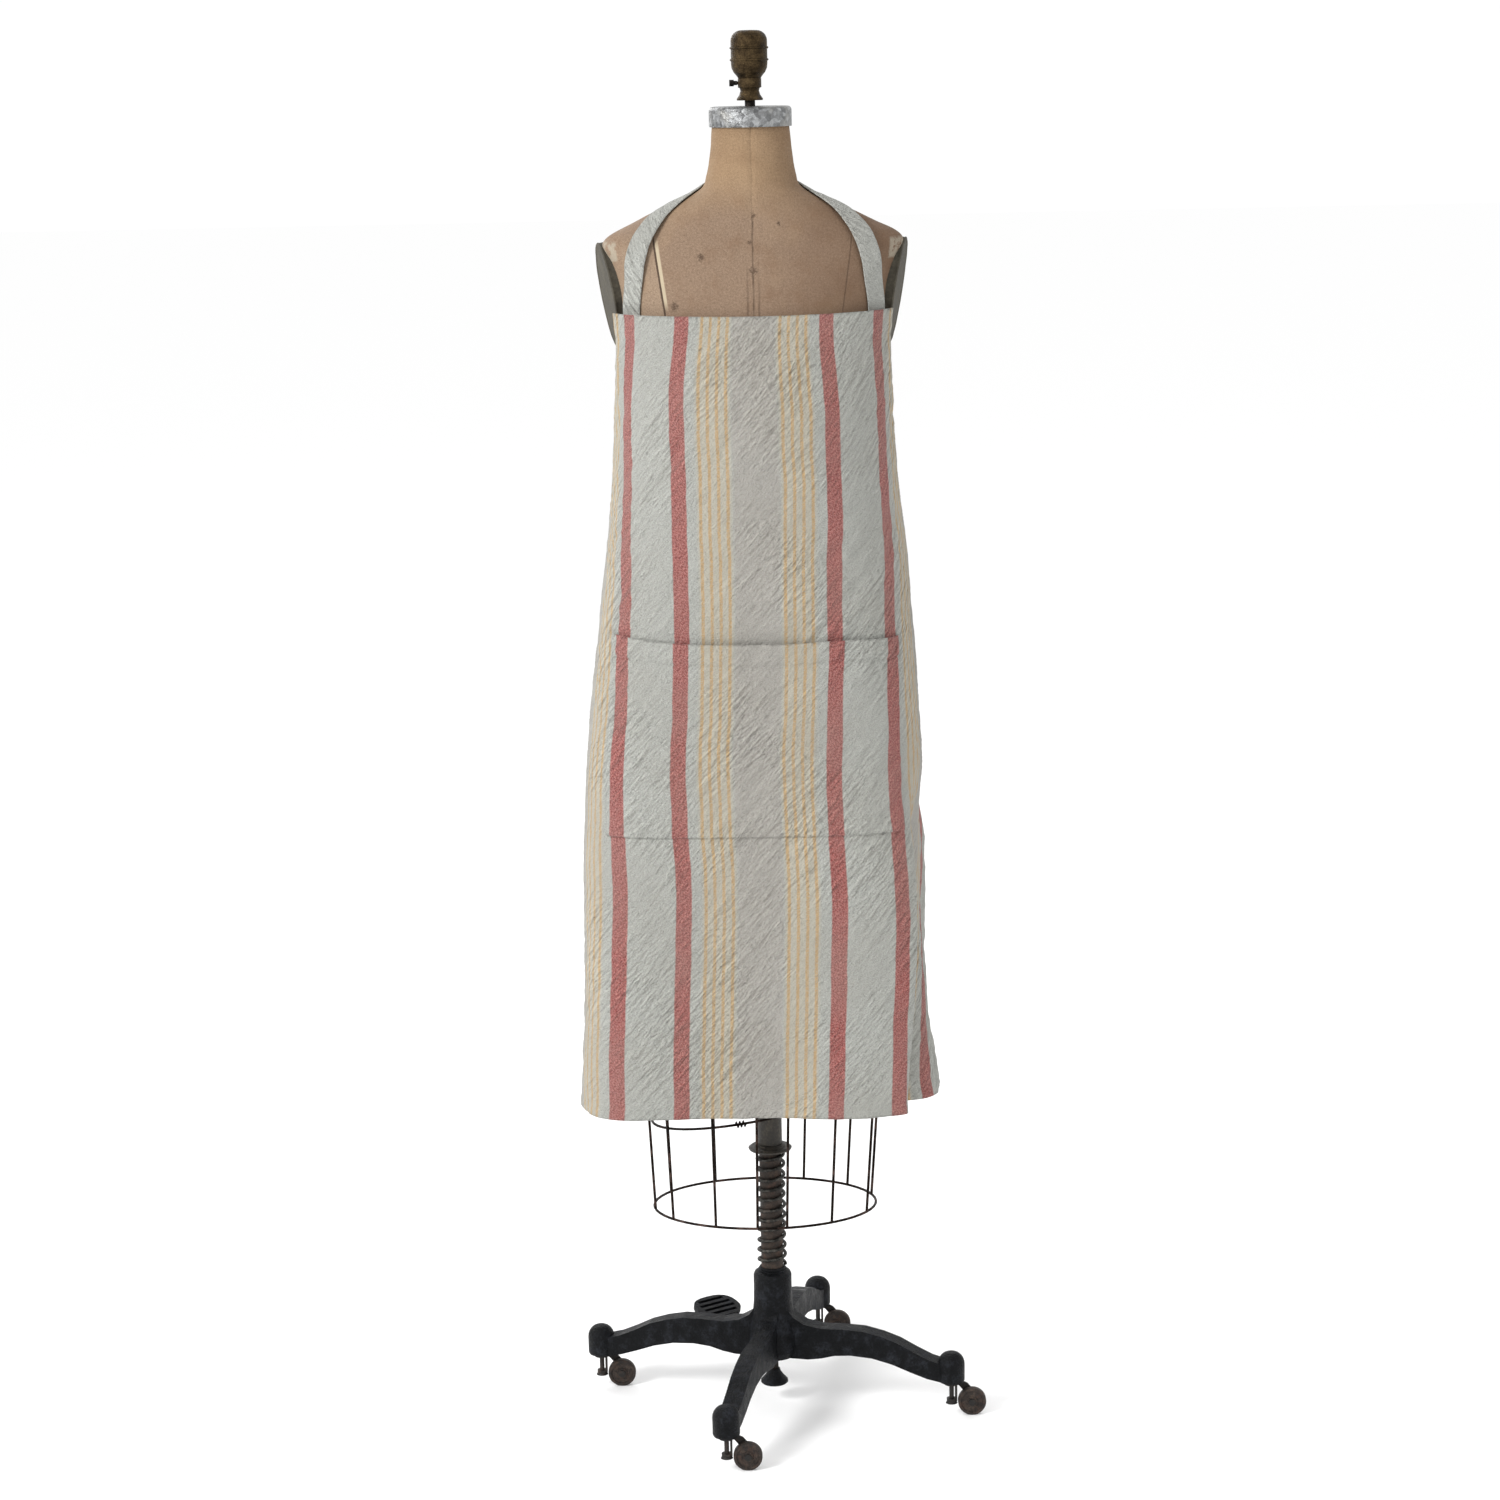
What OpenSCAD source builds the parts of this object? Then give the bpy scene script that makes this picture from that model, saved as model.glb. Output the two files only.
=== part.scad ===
// Striped bib apron worn by an antique dress form on a castered, height-adjustable iron stand.
// Millimetres. +Z is up, the origin is on the floor under the column, and the form faces -Y.

/* [Apron] */
// Flat width of the apron at the hem
apron_w = 700; // [680:5:720]
// Flat length of the apron from bib to hem
apron_l = 914; // [900:2:920]
// Flat width of the top edge of the bib
bib_w = 350; // [340:2:360]
// Width of the neck strap and the waist ties
strap_w = 26; // [22:1:28]
// Flat width of the pocket
pocket_w = 336; // [320:2:340]
// Height of the pocket
pocket_h = 228; // [200:2:232]
// Distance from the top of the bib down to the top of the pocket
pocket_drop = 356; // [340:2:370]

/* [Form] */
// Height of the top edge of the bib above the floor
bib_z = 1296; // [1292:1:1300]
// Outer diameter of the metal neck cap
neck_cap_d = 92; // [90:1:96]
// Height of the underside of the neck cap
neck_z = 1495; // [1494:1:1497]
// Height of the lower rim of the torso
hip_z = 722; // [718:1:726]
// Wall thickness of the torso shell
shell_t = 4; // [3:0.5:5]

/* [Cage] */
// Diameter of the cage wire
wire_d = 3.2; // [2.8:0.1:3.6]
// Width of the bottom hoop
hoop_w = 261; // [255:1:270]
// Depth of the bottom hoop
hoop_depth = 186; // [178:1:190]
// Height of the bottom hoop above the floor
hoop_z = 246; // [242:1:252]

/* [Column] */
// Diameter of the sliding rod
rod_d = 26; // [24:0.5:26]
// Diameter of the upper tube
tube_d = 28.5; // [28:0.5:30]
// Diameter of the flange that presses on the spring
flange_d = 51; // [46:1:56]
// Diameter of the spring wire
spring_wire = 4; // [3.6:0.2:4.4]
// Number of turns of the spring
spring_turns = 11; // [9:1:12]

/* [Stand] */
// Distance from the column to each caster socket
leg_reach = 215; // [205:1:225]
// Turn of the stand relative to the form, in degrees
stand_turn = -15; // [-20:0.5:20]
// Outer diameter of the hub
hub_d = 45; // [44:1:48]
// Height of the top of the hub
hub_top = 163; // [162:1:166]
// Diameter of the caster wheels
wheel_d = 33; // [32:1:34]

/* [Hidden] */
$fn = 64;
running = 0.1;              // radial clearance of everything that turns or slides
cloth_t = 2.2;              // thickness of one layer of apron cloth
strap_t = 2.4;
drape_fall = 0.99;          // height lost per millimetre of cloth length
cloth_gap = 0.6;

// Torso sections from the hips up: height, half width, front depth, back depth, squareness.
torso_keys = [
    [hip_z, 166, 112, 112, 2.25], [800, 171, 115, 122, 2.25], [880, 158, 108, 110, 2.2],
    [960, 136, 99, 92, 2.15], [1020, 122, 94, 84, 2.1], [1100, 133, 105, 90, 2.15],
    [1190, 145, 122, 99, 2.3], [1250, 144, 115, 101, 2.35], [1310, 153, 98, 100, 2.45],
    [1350, 163, 82, 94, 2.45], [1368, 168, 74, 88, 2.4], [1378, 160, 69, 83, 2.3],
    [1390, 136, 64, 77, 2.2], [1403, 110, 59, 70, 2.1], [1416, 78, 54, 63, 2.05],
    [1428, 56, 50, 57, 2], [1442, 50, 47, 51, 2], [1465, 46, 44, 47, 2], [neck_z, 43, 42, 44, 2]
];
// Heights of the torso rings: even below the shoulders, closer where the shoulders slope.
torso_rings = concat([for (z = [hip_z : 36.5 : 1344]) z],
    [1357, 1367, 1372, 1378, 1385, 1393, 1401, 1409, 1416, 1423, 1431, 1442, 1458, 1476, neck_z + 10]);

// Apron sections from the hem up: height, half width, front depth, back depth, squareness,
// sideways shift, depth of the flute on the right and its angle from the front.
apron_keys = [
    [380, 208, 134, 112, 5, -5, 72, 47], [434, 205, 134, 115, 4.8, -6, 70, 51.5],
    [500, 202, 134, 118, 4.5, -5, 62, 58], [600, 200.5, 134, 124, 4.1, -4.5, 50, 64],
    [672, 198.5, 134, 127, 3.9, -6.5, 34, 66], [720, 193.5, 133, 128, 3.6, -9, 18, 68],
    [778, 189, 132, 128, 3.4, -10.5, 0, 70], [850, 184, 130, 128, 3.1, -8, 0, 70],
    [950, 174.5, 127, 122, 2.8, -4.5, 0, 70], [1010, 169, 127, 118, 2.6, -2.5, 0, 70],
    [1085, 160, 129, 114, 2.5, -2.5, 0, 70], [1170, 154.5, 132, 112, 2.4, -2.5, 0, 70],
    [1240, 155.5, 126, 112, 2.45, -2, 0, 70], [1300, 159, 107, 110, 2.65, -1, 0, 70]
];
// Cut of the apron: distance down from the bib, half width of the cloth.
cut_keys = [
    [0, bib_w / 2], [40, bib_w / 2 + 2], [80, bib_w / 2 + 14], [130, bib_w / 2 + 38], [210, apron_w * 0.382],
    [290, apron_w * 0.474], [340, apron_w * 0.497], [400, apron_w / 2], [1000, apron_w / 2]
];
flute_front = 8.5;          // how quickly the flute closes towards the front and the back, degrees
flute_back = 27;

// Neck strap, right half, from the bib to the nape: a point and the way its outer face looks.
strap_half = [
    [[135.7, -61.3, 1287], [0.68, -0.74, 0]], [[135.1, -61.3, 1306], [0.67, -0.74, 0.08]],
    [[132.4, -62.2, 1330], [0.6, -0.79, 0.12]], [[129.9, -62.6, 1354], [0.48, -0.85, 0.22]],
    [[120.8, -55.4, 1379.4], [0.38, -0.7, 0.6]], [[104.8, -34.8, 1400.7], [0.38, -0.42, 0.82]],
    [[88, -17.1, 1413.3], [0.4, -0.2, 0.9]], [[70.4, 4, 1422.3], [0.42, 0.05, 0.91]],
    [[59.7, 31.5, 1426], [0.5, 0.42, 0.76]], [[42.5, 55, 1422.8], [0.46, 0.7, 0.54]],
    [[20.4, 63.6, 1419], [0.2, 0.86, 0.47]], [[0, 65.4, 1417.7], [0, 0.89, 0.45]]
];
// Waist tie, right half, from the side edge of the apron to the knot and down its tail.
tie_half = [
    [[152.7, 84.5, 972], [0.72, 0.69, 0]], [[139, 97, 969], [0.5, 0.87, 0]],
    [[110, 98.5, 964], [0.1, 1, 0]], [[70, 98, 958], [0, 1, 0]], [[24, 98, 951], [0, 1, 0]],
    [[16, 101, 935], [0, 1, 0.2]], [[18, 108, 904], [0, 1, 0.2]], [[21, 117, 870], [0, 1, 0.2]],
    [[24, 124.5, 835], [0, 1, 0.1]], [[28, 126.5, 800], [0, 1, 0]], [[34, 125, 700], [0, 1, 0]]
];
edge_shift = -3.3;          // sideways shift of the ties where they leave the apron
// Loop of the bow, right half.
bow_half = [
    [[8, 108, 950], [0, 1, 0.1]], [[26, 117, 961], [0, 0.8, 0.6]],
    [[50, 123, 962], [0.1, 0.3, 0.95]], [[70, 119, 946], [0.9, 0.2, 0.3]],
    [[62, 114, 926], [0.3, 0.5, -0.8]], [[36, 112, 931], [0, 0.85, -0.5]],
    [[10, 110, 944], [0, 1, -0.2]]
];

// Angles of the cage ribs from the front, positive to the right.
rib_angles = [-153, -121, -80, -55, -26, -4, 11, 36, 65, 105, 131, 159];
rib_top = [160, 106];       // half width and half depth where the ribs leave the torso
hoop_shift = -7;            // sideways shift of the bottom hoop
mid_hoop_z = 377;
mid_hoop_tilt = 11;
high_hoop_z = 545;

collar_z = 309;             // underside of the flange
rod_foot = 118;             // lowest point of the rod
tube_top = 1440;
spring_foot = 168;
hub_foot = 58;
pedal_turn = 125;           // direction of the pedal from the column
pedal_pivot = [40, 88];     // distance from the column and height of the pedal's hinge
caster_names = ["right", "back", "left", "front"];
caster_turns = [0, 90, 180, 270];
trail = 24;                 // from a caster's stem to its axle
stem_r = 2.75;
axle_r = 2.5;
wheel_w = 9;
finial_foot = 1523.5;

// ---------- smooth curves through the key tables ----------
function segment(keys, x, i = 0) =
    i >= len(keys) - 2 || x < keys[i + 1][0] ? i : segment(keys, x, i + 1);
function slope(keys, c, i) =
    let (a = max(i - 1, 0), b = min(i + 1, len(keys) - 1))
    (keys[b][c] - keys[a][c]) / (keys[b][0] - keys[a][0]);
function smooth(keys, c, x) =
    let (i = segment(keys, x), h = keys[i + 1][0] - keys[i][0],
         s = min(max((x - keys[i][0]) / h, 0), 1), p = keys[i][c], q = keys[i + 1][c],
         m = slope(keys, c, i) * h, n = slope(keys, c, i + 1) * h)
    (2 * s ^ 3 - 3 * s ^ 2 + 1) * p + (s ^ 3 - 2 * s ^ 2 + s) * m
    + (3 * s ^ 2 - 2 * s ^ 3) * q + (s ^ 3 - s ^ 2) * n;
function power(v, e) = sign(v) * abs(v) ^ e;
// A squarish oval: half width a, front depth f, back depth b, squareness n, at angle q from the front.
function oval_point(a, f, b, n, q) =
    [a * power(sin(q), 2 / n), -(cos(q) > 0 ? f : b) * power(cos(q), 2 / n)];

// ---------- solids from grids of points ----------
function quad(a, b, c, d) = [[a, b, c], [a, c, d]];
// Faces of a closed tube: rows of `cols` points, the outer grid first and the inner grid after it.
function tube_faces(rows, cols) =
    let (inner = rows * cols)
    [for (i = [0 : rows - 2], j = [0 : cols - 1])
        let (k = (j + 1) % cols, a = i * cols + j, b = i * cols + k)
        each concat(quad(a, a + cols, b + cols, b),
                    quad(inner + a, inner + b, inner + b + cols, inner + a + cols)),
     for (j = [0 : cols - 1])
        let (k = (j + 1) % cols, t = (rows - 1) * cols)
        each concat(quad(j, k, inner + k, inner + j),
                    quad(t + j, inner + t + j, inner + t + k, t + k))];
// Faces of an open sheet with thickness, laid out the same way.
function sheet_faces(rows, cols) =
    let (inner = rows * cols, t = (rows - 1) * cols, e = cols - 1)
    [for (i = [0 : rows - 2], j = [0 : cols - 2])
        let (a = i * cols + j, b = a + 1)
        each concat(quad(a, a + cols, b + cols, b),
                    quad(inner + a, inner + b, inner + b + cols, inner + a + cols)),
     for (j = [0 : cols - 2])
        each concat(quad(j, j + 1, inner + j + 1, inner + j),
                    quad(t + j, inner + t + j, inner + t + j + 1, t + j + 1)),
     for (i = [0 : rows - 2])
        let (a = i * cols)
        each concat(quad(a, inner + a, inner + a + cols, a + cols),
                    quad(a + e, a + e + cols, inner + a + e + cols, inner + a + e))];
module sheet(outer, inner) {
    rows = len(outer);
    cols = len(outer[0]);
    polyhedron([for (r = outer) each r, for (r = inner) each r], sheet_faces(rows, cols));
}
// A flat strap along a path of [point, facing] pairs.
module ribbon(path, width, thick) {
    n = len(path);
    frames = [for (i = [0 : n - 1])
        let (along = path[min(i + 1, n - 1)][0] - path[max(i - 1, 0)][0],
             across = cross(path[i][1], along), side = across / norm(across) * width / 2,
             up = cross(along, across), lift = up / norm(up) * thick / 2)
        [path[i][0] - side, path[i][0] + side, lift]];
    sheet([for (f = frames) [f[1] + f[2], f[0] + f[2]]], [for (f = frames) [f[1] - f[2], f[0] - f[2]]]);
}
// A round wire along points, with `sides` sides.
module wire(points, r, sides) {
    n = len(points);
    rings = [for (i = [0 : n - 1])
        let (t = points[min(i + 1, n - 1)] - points[max(i - 1, 0)], u0 = cross(t, [0.02, 0.03, 1]),
             u = u0 / norm(u0), v0 = cross(t, u), v = v0 / norm(v0))
        [for (k = [0 : sides - 1]) points[i] + r * (cos(360 * k / sides) * u + sin(360 * k / sides) * v)]];
    polyhedron([for (g = rings) each g], concat(
        [for (i = [0 : n - 2], j = [0 : sides - 1])
            let (k = (j + 1) % sides, a = i * sides)
            each quad(a + j, a + sides + j, a + sides + k, a + k)],
        [[for (j = [0 : sides - 1]) j], [for (j = [sides - 1 : -1 : 0]) (n - 1) * sides + j]]));
}
function mirrored(path) = [for (p = path) [[-p[0][0], p[0][1], p[0][2]], [-p[1][0], p[1][1], p[1][2]]]];

// ---------- apron ----------
function half_cut(z) = smooth(cut_keys, 1, (bib_z - z) / drape_fall);
// Point of the hanging cloth at angle q from the front and height z, moved out by lift.
function cloth_point(q, z, lift) =
    let (p = oval_point(smooth(apron_keys, 1, z) + lift, smooth(apron_keys, 2, z) + lift,
                        smooth(apron_keys, 3, z) + lift, smooth(apron_keys, 4, z), q),
         past = q - smooth(apron_keys, 7, z),
         flute = smooth(apron_keys, 6, z) * exp(-(past / (past < 0 ? flute_front : flute_back)) ^ 2),
         s = 1 - flute / norm(p))
    [p[0] * s + smooth(apron_keys, 5, z), p[1] * s, z];
// Pairs of [cloth length from the middle, angle], walking out from the front one way.
function walk(z, way) =
    [for (q = 2, last = cloth_point(0, z, 0), s = 0, here = cloth_point(2 * way, z, 0); q <= 176;
          s = s + norm(here - last), last = here, q = q + 2, here = cloth_point(q * way, z, 0))
        [s, q - 2]];
function cloth_row(z, from, to, cols, lift) =
    let (left = walk(z, -1), right = walk(z, 1))
    [for (j = [0 : cols - 1])
        let (u = from + (to - from) * j / (cols - 1),
             q = u < 0 ? -lookup(-u, left) : lookup(u, right))
        cloth_point(q, z, lift)];
module hanging_cloth(z_low, z_high, rows, cols, lift, cut) {
    zs = [for (i = [0 : rows - 1]) z_low + (z_high - z_low) * i / (rows - 1)];
    sheet([for (z = zs) cloth_row(z, -cut(z), cut(z), cols, lift + cloth_t)],
          [for (z = zs) cloth_row(z, -cut(z), cut(z), cols, lift)]);
}
module apron_panel() {
    color("#c6c4b8")
        hanging_cloth(bib_z - apron_l * drape_fall, bib_z, 29, 39, 0, function (z) half_cut(z));
}
module apron_pocket() {
    top = bib_z - pocket_drop * drape_fall;
    color("#c9c7bb")
        hanging_cloth(top - pocket_h * drape_fall, top, 9, 17, cloth_t + cloth_gap,
                      function (z) pocket_w / 2);
}
module neck_strap() {
    n = len(strap_half);
    color("#c3c3b6")
        ribbon(concat(strap_half, [for (i = [n - 2 : -1 : 0]) mirrored(strap_half)[i]]), strap_w, strap_t);
}
module waist_tie(side) {
    path = [for (i = [0 : len(tie_half) - 1])
        let (p = tie_half[i][0], f = tie_half[i][1])
        [[side * p[0] + (i < 2 ? edge_shift : 0), p[1], p[2]], [side * f[0], f[1], f[2]]]];
    color("#c3c3b6") ribbon(path, strap_w, strap_t);
}
module tie_bow() {
    color("#c3c3b6") {
        for (path = [bow_half, mirrored(bow_half)]) ribbon(path, strap_w, strap_t);
        translate([0, 110.5, 944]) cube([17, 11, 26], center = true);
    }
}

// ---------- dress form ----------
function torso_ring(z, inset, cols) =
    [for (j = [0 : cols - 1])
        let (p = oval_point(smooth(torso_keys, 1, z) - inset, smooth(torso_keys, 2, z) - inset,
                            smooth(torso_keys, 3, z) - inset, smooth(torso_keys, 4, z), 360 * j / cols))
        [p[0], p[1], z]];
module torso_shell() {
    cols = 44;
    color("#a98a6c")
        polyhedron([for (z = torso_rings) each torso_ring(z, 0, cols),
                    for (z = torso_rings) each torso_ring(z, shell_t, cols)],
                   tube_faces(len(torso_rings), cols));
}
module hip_band() {
    cols = 44;
    zs = [hip_z + 1, hip_z + 14];
    color("#8a7358")
        polyhedron([for (z = zs) each torso_ring(z, -1.6, cols), for (z = zs) each torso_ring(z, -0.2, cols)],
                   tube_faces(len(zs), cols));
}
module plate_outline(w, h) {
    polygon([for (q = [0 : 9 : 351]) [w / 2 * cos(q), h / 2 * sin(q)]]);
}
module arm_plate(side) {
    // The left plate is turned forward a little more than the right one.
    turned = side < 0 ? 11 : 8;
    color("#6d6a60")
        translate([side * (side < 0 ? 161.7 : 160), 4, 1312]) rotate([0, 0, -side * turned])
            rotate([0, side * 9.5, 0]) rotate([90, 0, side * 90]) {
                translate([0, 0, 0.4]) linear_extrude(2.2) plate_outline(92, 116);
                linear_extrude(1.4) plate_outline(95, 119);
            }
}
module neck_block() {
    color("#7c5b3a") difference() {
        translate([0, 0, tube_top + 0.4]) cylinder(r = 37.5, h = neck_z + 13.6 - tube_top);
        translate([0, 0, tube_top - 1]) cylinder(r = 6.5 + running, h = 40);
    }
}
module neck_cap() {
    r = neck_cap_d / 2;
    color("#a9adb0") translate([0, 0, neck_z]) rotate_extrude()
        polygon(concat([[5.8, 20], [r - 1.5, 20], [r - 1.5, 0], [r, 0], [r, 17.5]],
                       [for (q = [15 : 15 : 90]) [r - 4.5 + 4.5 * cos(q), 17.5 + 4.5 * sin(q)]],
                       [[5.8, 22]]));
}
module neck_rod() {
    color("#2b2a28") translate([0, 0, neck_z + 14]) cylinder(r = 5.8, h = 48);
}
module hip_bracket() {
    r = tube_d / 2;
    color("#3a3430") difference() {
        union() {
            translate([0, 0, hip_z + 8]) cylinder(r = r + 8, h = 22);
            for (s = [-1, 1]) rotate([0, 0, 90 * s]) translate([r + 4, -8, hip_z + 14])
                cube([(s < 0 ? 107 : 109) - r - 4, 16, 6]);
        }
        translate([0, 0, hip_z]) cylinder(r = r + running, h = 40);
    }
}

// ---------- cage ----------
// A closed oval of round wire, half width a and half depth b.
module hoop(a, b) {
    n = 56;
    sides = 8;
    rings = [for (i = [0 : n - 1])
        let (q = 360 * i / n, out = [b * cos(q), a * sin(q), 0], u = out / norm(out))
        [for (k = [0 : sides - 1])
            [a * cos(q), b * sin(q), 0] + wire_d / 2 * (cos(360 * k / sides) * u + sin(360 * k / sides) * [0, 0, 1])]];
    polyhedron([for (g = rings) each g],
        [for (i = [0 : n - 1], j = [0 : sides - 1])
            let (k = (j + 1) % sides, p = i * sides, q = ((i + 1) % n) * sides)
            each quad(p + j, p + k, q + k, q + j)]);
}
function rib_at(q, z) =
    let (s = (z - hoop_z) / (hip_z + 10 - hoop_z),
         a = hoop_w / 2 + (rib_top[0] - hoop_w / 2) * s, b = hoop_depth / 2 + (rib_top[1] - hoop_depth / 2) * s)
    [a * sin(q) + hoop_shift * (1 - s), -b * cos(q), z];
module cage_ribs() {
    color("#3c2f28") for (q = rib_angles) {
        foot = rib_at(q, hoop_z);
        head = rib_at(q, hip_z + 10);
        lean = head - foot;
        translate(foot) rotate([0, acos(lean[2] / norm(lean)), atan2(lean[1], lean[0])])
            cylinder(d = wire_d, h = norm(lean), $fn = 24);
    }
}
module cage_bottom_hoop() {
    color("#33302d") translate([hoop_shift, 0, hoop_z]) hoop(hoop_w / 2, hoop_depth / 2);
}
module cage_middle_hoop() {
    p = rib_at(90, mid_hoop_z);
    q = rib_at(0, mid_hoop_z);
    color("#33302d") translate([q[0], 0, mid_hoop_z]) rotate([0, -mid_hoop_tilt, 0])
        hoop(p[0] - q[0] - wire_d, -q[1] - wire_d);
}
module cage_upper_hoop() {
    p = rib_at(90, high_hoop_z);
    q = rib_at(0, high_hoop_z);
    color("#33302d") translate([q[0], 0, high_hoop_z]) hoop(p[0] - q[0] - wire_d, -q[1] - wire_d);
}
module hoop_twist_tie() {
    points = [for (i = [0 : 30])
        let (a = i * 36)
        [-39 + i * 0.4, -90.2 - 0.057 * i + 3.3 * cos(a), 370.4 + 0.078 * i + 3.3 * sin(a)]];
    color("#2a2725") wire(points, 0.9, 6);
}

// ---------- finial ----------
module finial_shell() {
    // Dome, two beads and a waist, turned about the column's axis.
    color("#5a4a33") translate([0, 0, finial_foot]) rotate_extrude() difference() {
        union() {
            polygon(concat([[0, 24], [12.5, 24], [14.5, 27], [17.5, 30.5], [19.6, 35], [20.2, 40],
                            [20.2, 57]],
                           [for (q = [0 : 15 : 90]) [8.7 + 11.5 * cos(q), 64.5 + 11.5 * sin(q)]],
                           [[0, 76.2]]));
            for (z = [44, 57]) translate([20.2, z]) circle(r = 1.3, $fn = 24);
        }
        translate([-30, 0]) square([30, 90]);
        square([5.9, 38]);
    }
}
module finial_socket() {
    color("#4d3e2c") translate([0, 0, finial_foot]) difference() {
        rotate_extrude()
            polygon([[5.9, 0], [14.4, 0], [14.6, 1.6], [11.6, 6], [10.3, 10.5], [11.2, 13.4], [13, 14],
                     [13, 23.9], [5.9, 23.9]]);
        translate([-20, 0, 19]) rotate([0, 90, 0]) cylinder(r = 1.9, h = 15);
    }
}
module thumb_screw() {
    color("#1f1c19") translate([-22.5, 0, finial_foot + 19]) rotate([0, 90, 0]) {
        cylinder(r = 3.6, h = 5);
        translate([0, 0, 5]) cylinder(r = 2.4, h = 3.6);
        cylinder(r = 1.8, h = 15.9);
    }
}

// ---------- column ----------
module column_tube() {
    color("#38342f") {
        difference() {
            translate([0, 0, collar_z + 10.4]) cylinder(d = tube_d, h = tube_top - collar_z - 10.4);
            translate([0, 0, collar_z - 20]) cylinder(d = tube_d - 4, h = tube_top - collar_z - 10);
        }
        translate([0, 0, tube_top - 2]) cylinder(r = 6.5, h = 38);
    }
}
module column_flange() {
    color("#332d28") translate([0, 0, collar_z]) rotate_extrude()
        polygon([[0, 0], [16, 0], [flange_d / 2 - 4, 2.4], [flange_d / 2 - 1, 3.4], [flange_d / 2, 5.4],
                 [flange_d / 2 - 2.6, 7.4], [18.5, 7.6], [16.4, 10.4], [0, 10.4]]);
}
module column_rod() {
    color("#4a3a2c") translate([0, 0, rod_foot]) cylinder(d = rod_d, h = collar_z - rod_foot);
}
module column_spring() {
    r = rod_d / 2 + 0.5 + spring_wire / 2;
    steps = 18 * spring_turns;
    low = spring_foot + spring_wire / 2 + 0.2;
    high = collar_z - spring_wire / 2 - 0.6;
    points = [for (i = [0 : steps]) let (a = 360 * i / 18)
        [r * cos(a), r * sin(a), low + (high - low) * i / steps]];
    color("#4b4843") wire(points, spring_wire / 2, 6);
}

// ---------- stand ----------
leg_side = [
    [12, 128], [20, 118], [27, 108.5], [40, 101], [60, 97.5], [85, 98.5], [110, 98], [132, 93.5],
    [152, 87], [172, 77], [190, 69], [205, 65], [leg_reach, 63], [leg_reach, 43], [205, 42.5],
    [188, 45.5], [168, 52], [146, 60], [122, 65.5], [96, 67], [76, 65], [60, 60.5], [44, 58],
    [12, hub_foot]
];
module leg() {
    translate([0, 11, 0]) rotate([90, 0, 0]) linear_extrude(22) polygon(leg_side);
    translate([leg_reach, 0, 0]) rotate_extrude()
        polygon(concat([[0, 41.8], [14.6, 41.8], [15.6, 44], [15.8, 63]],
                       [for (q = [15 : 15 : 90]) [3 + 12.8 * cos(q), 63 + 14.5 * sin(q)]],
                       [[0, 77.5]]));
}
module base_casting() {
    color("#22252a") rotate([0, 0, stand_turn]) difference() {
        union() {
            rotate_extrude()
                polygon([[0, hub_foot], [25, hub_foot], [29, 66], [29, 90], [26.5, 103], [24, 114], [22.8, 126],
                         [hub_d / 2, 140], [hub_d / 2, hub_top - 5], [hub_d / 2 - 1.6, hub_top - 1.6],
                         [hub_d / 2 - 5, hub_top], [0, hub_top]]);
            for (q = caster_turns) rotate([0, 0, q]) leg();
            rotate([0, 0, pedal_turn - stand_turn]) for (s = [-1, 1])
                translate([20, s * 10.5 - 2.5, pedal_pivot[1] - 9]) cube([27, 5, 18]);
        }
        translate([0, 0, 72]) cylinder(r = rod_d / 2 + running, h = 100);
        translate([0, 0, 50]) cylinder(r = 5 + running, h = 40);
        rotate([0, 0, pedal_turn - stand_turn]) translate([pedal_pivot[0], -20, pedal_pivot[1]])
            rotate([-90, 0, 0]) cylinder(r = 3, h = 40);
        rotate([0, 0, pedal_turn - stand_turn]) translate([30.5, -8, 70]) cube([30, 16, 40]);
        for (q = caster_turns) rotate([0, 0, q]) translate([leg_reach, 0, 35]) cylinder(r = stem_r, h = 24);
    }
}
module hub_gland() {
    color("#2c2e31") difference() {
        translate([0, 0, hub_top]) rotate_extrude()
            polygon([[0, 0], [17, 0], [17, 2], [15.5, 2.4], [15.5, 4], [14.9, 5], [0, 5]]);
        translate([0, 0, hub_top - 1]) cylinder(r = rod_d / 2 + running, h = 10);
    }
}
module pedal_pin() {
    color("#2f2b27") rotate([0, 0, pedal_turn]) translate([pedal_pivot[0], -14.5, pedal_pivot[1]])
        rotate([-90, 0, 0]) cylinder(r = 2.95, h = 29);
}
module foot_pedal() {
    color("#26282b") rotate([0, 0, pedal_turn]) translate([pedal_pivot[0], 0, pedal_pivot[1]]) difference() {
        union() {
            rotate([90, 0, 0]) translate([0, 0, -7]) cylinder(r = 7.5, h = 14);
            rotate([90, 0, 0]) translate([0, 0, -6]) linear_extrude(12)
                polygon([[0, -6], [22, -8.2], [56, -17], [100, -9], [101, -6], [98, -4], [58, -10], [30, -2],
                         [0, 6]]);
            translate([79, 0, -10]) rotate([0, -10, 0]) linear_extrude(6)
                polygon([for (q = [0 : 15 : 345]) oval_point(24, 28, 28, 2.6, q)]);
        }
        rotate([90, 0, 0]) translate([0, 0, -20]) cylinder(r = 2.95 + running, h = 40);
        translate([79, 0, -10]) rotate([0, -10, 0]) for (x = [-15, -5, 5, 15])
            translate([x - 2.5, 0.35 * abs(x) - 23, 2.2]) cube([5, 46 - 0.7 * abs(x), 10]);
    }
}
module floor_screw() {
    color("#292725") translate([0, 0, 40]) cylinder(r = 5, h = 28);
    color("#292725") for (i = [0 : 6]) translate([0, 0, 41.5 + 2.2 * i]) rotate_extrude()
        polygon([[4, -1], [5.05, -0.25], [5.05, 0.25], [4, 1]]);
}
module floor_foot() {
    color("#1e1f20") translate([0, 0, 22]) rotate_extrude()
        polygon([[0, 0], [14.5, 0], [16.2, 1.6], [16, 4], [11, 9.5], [7.6, 14.5], [6.6, 18], [0, 18]]);
}

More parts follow.
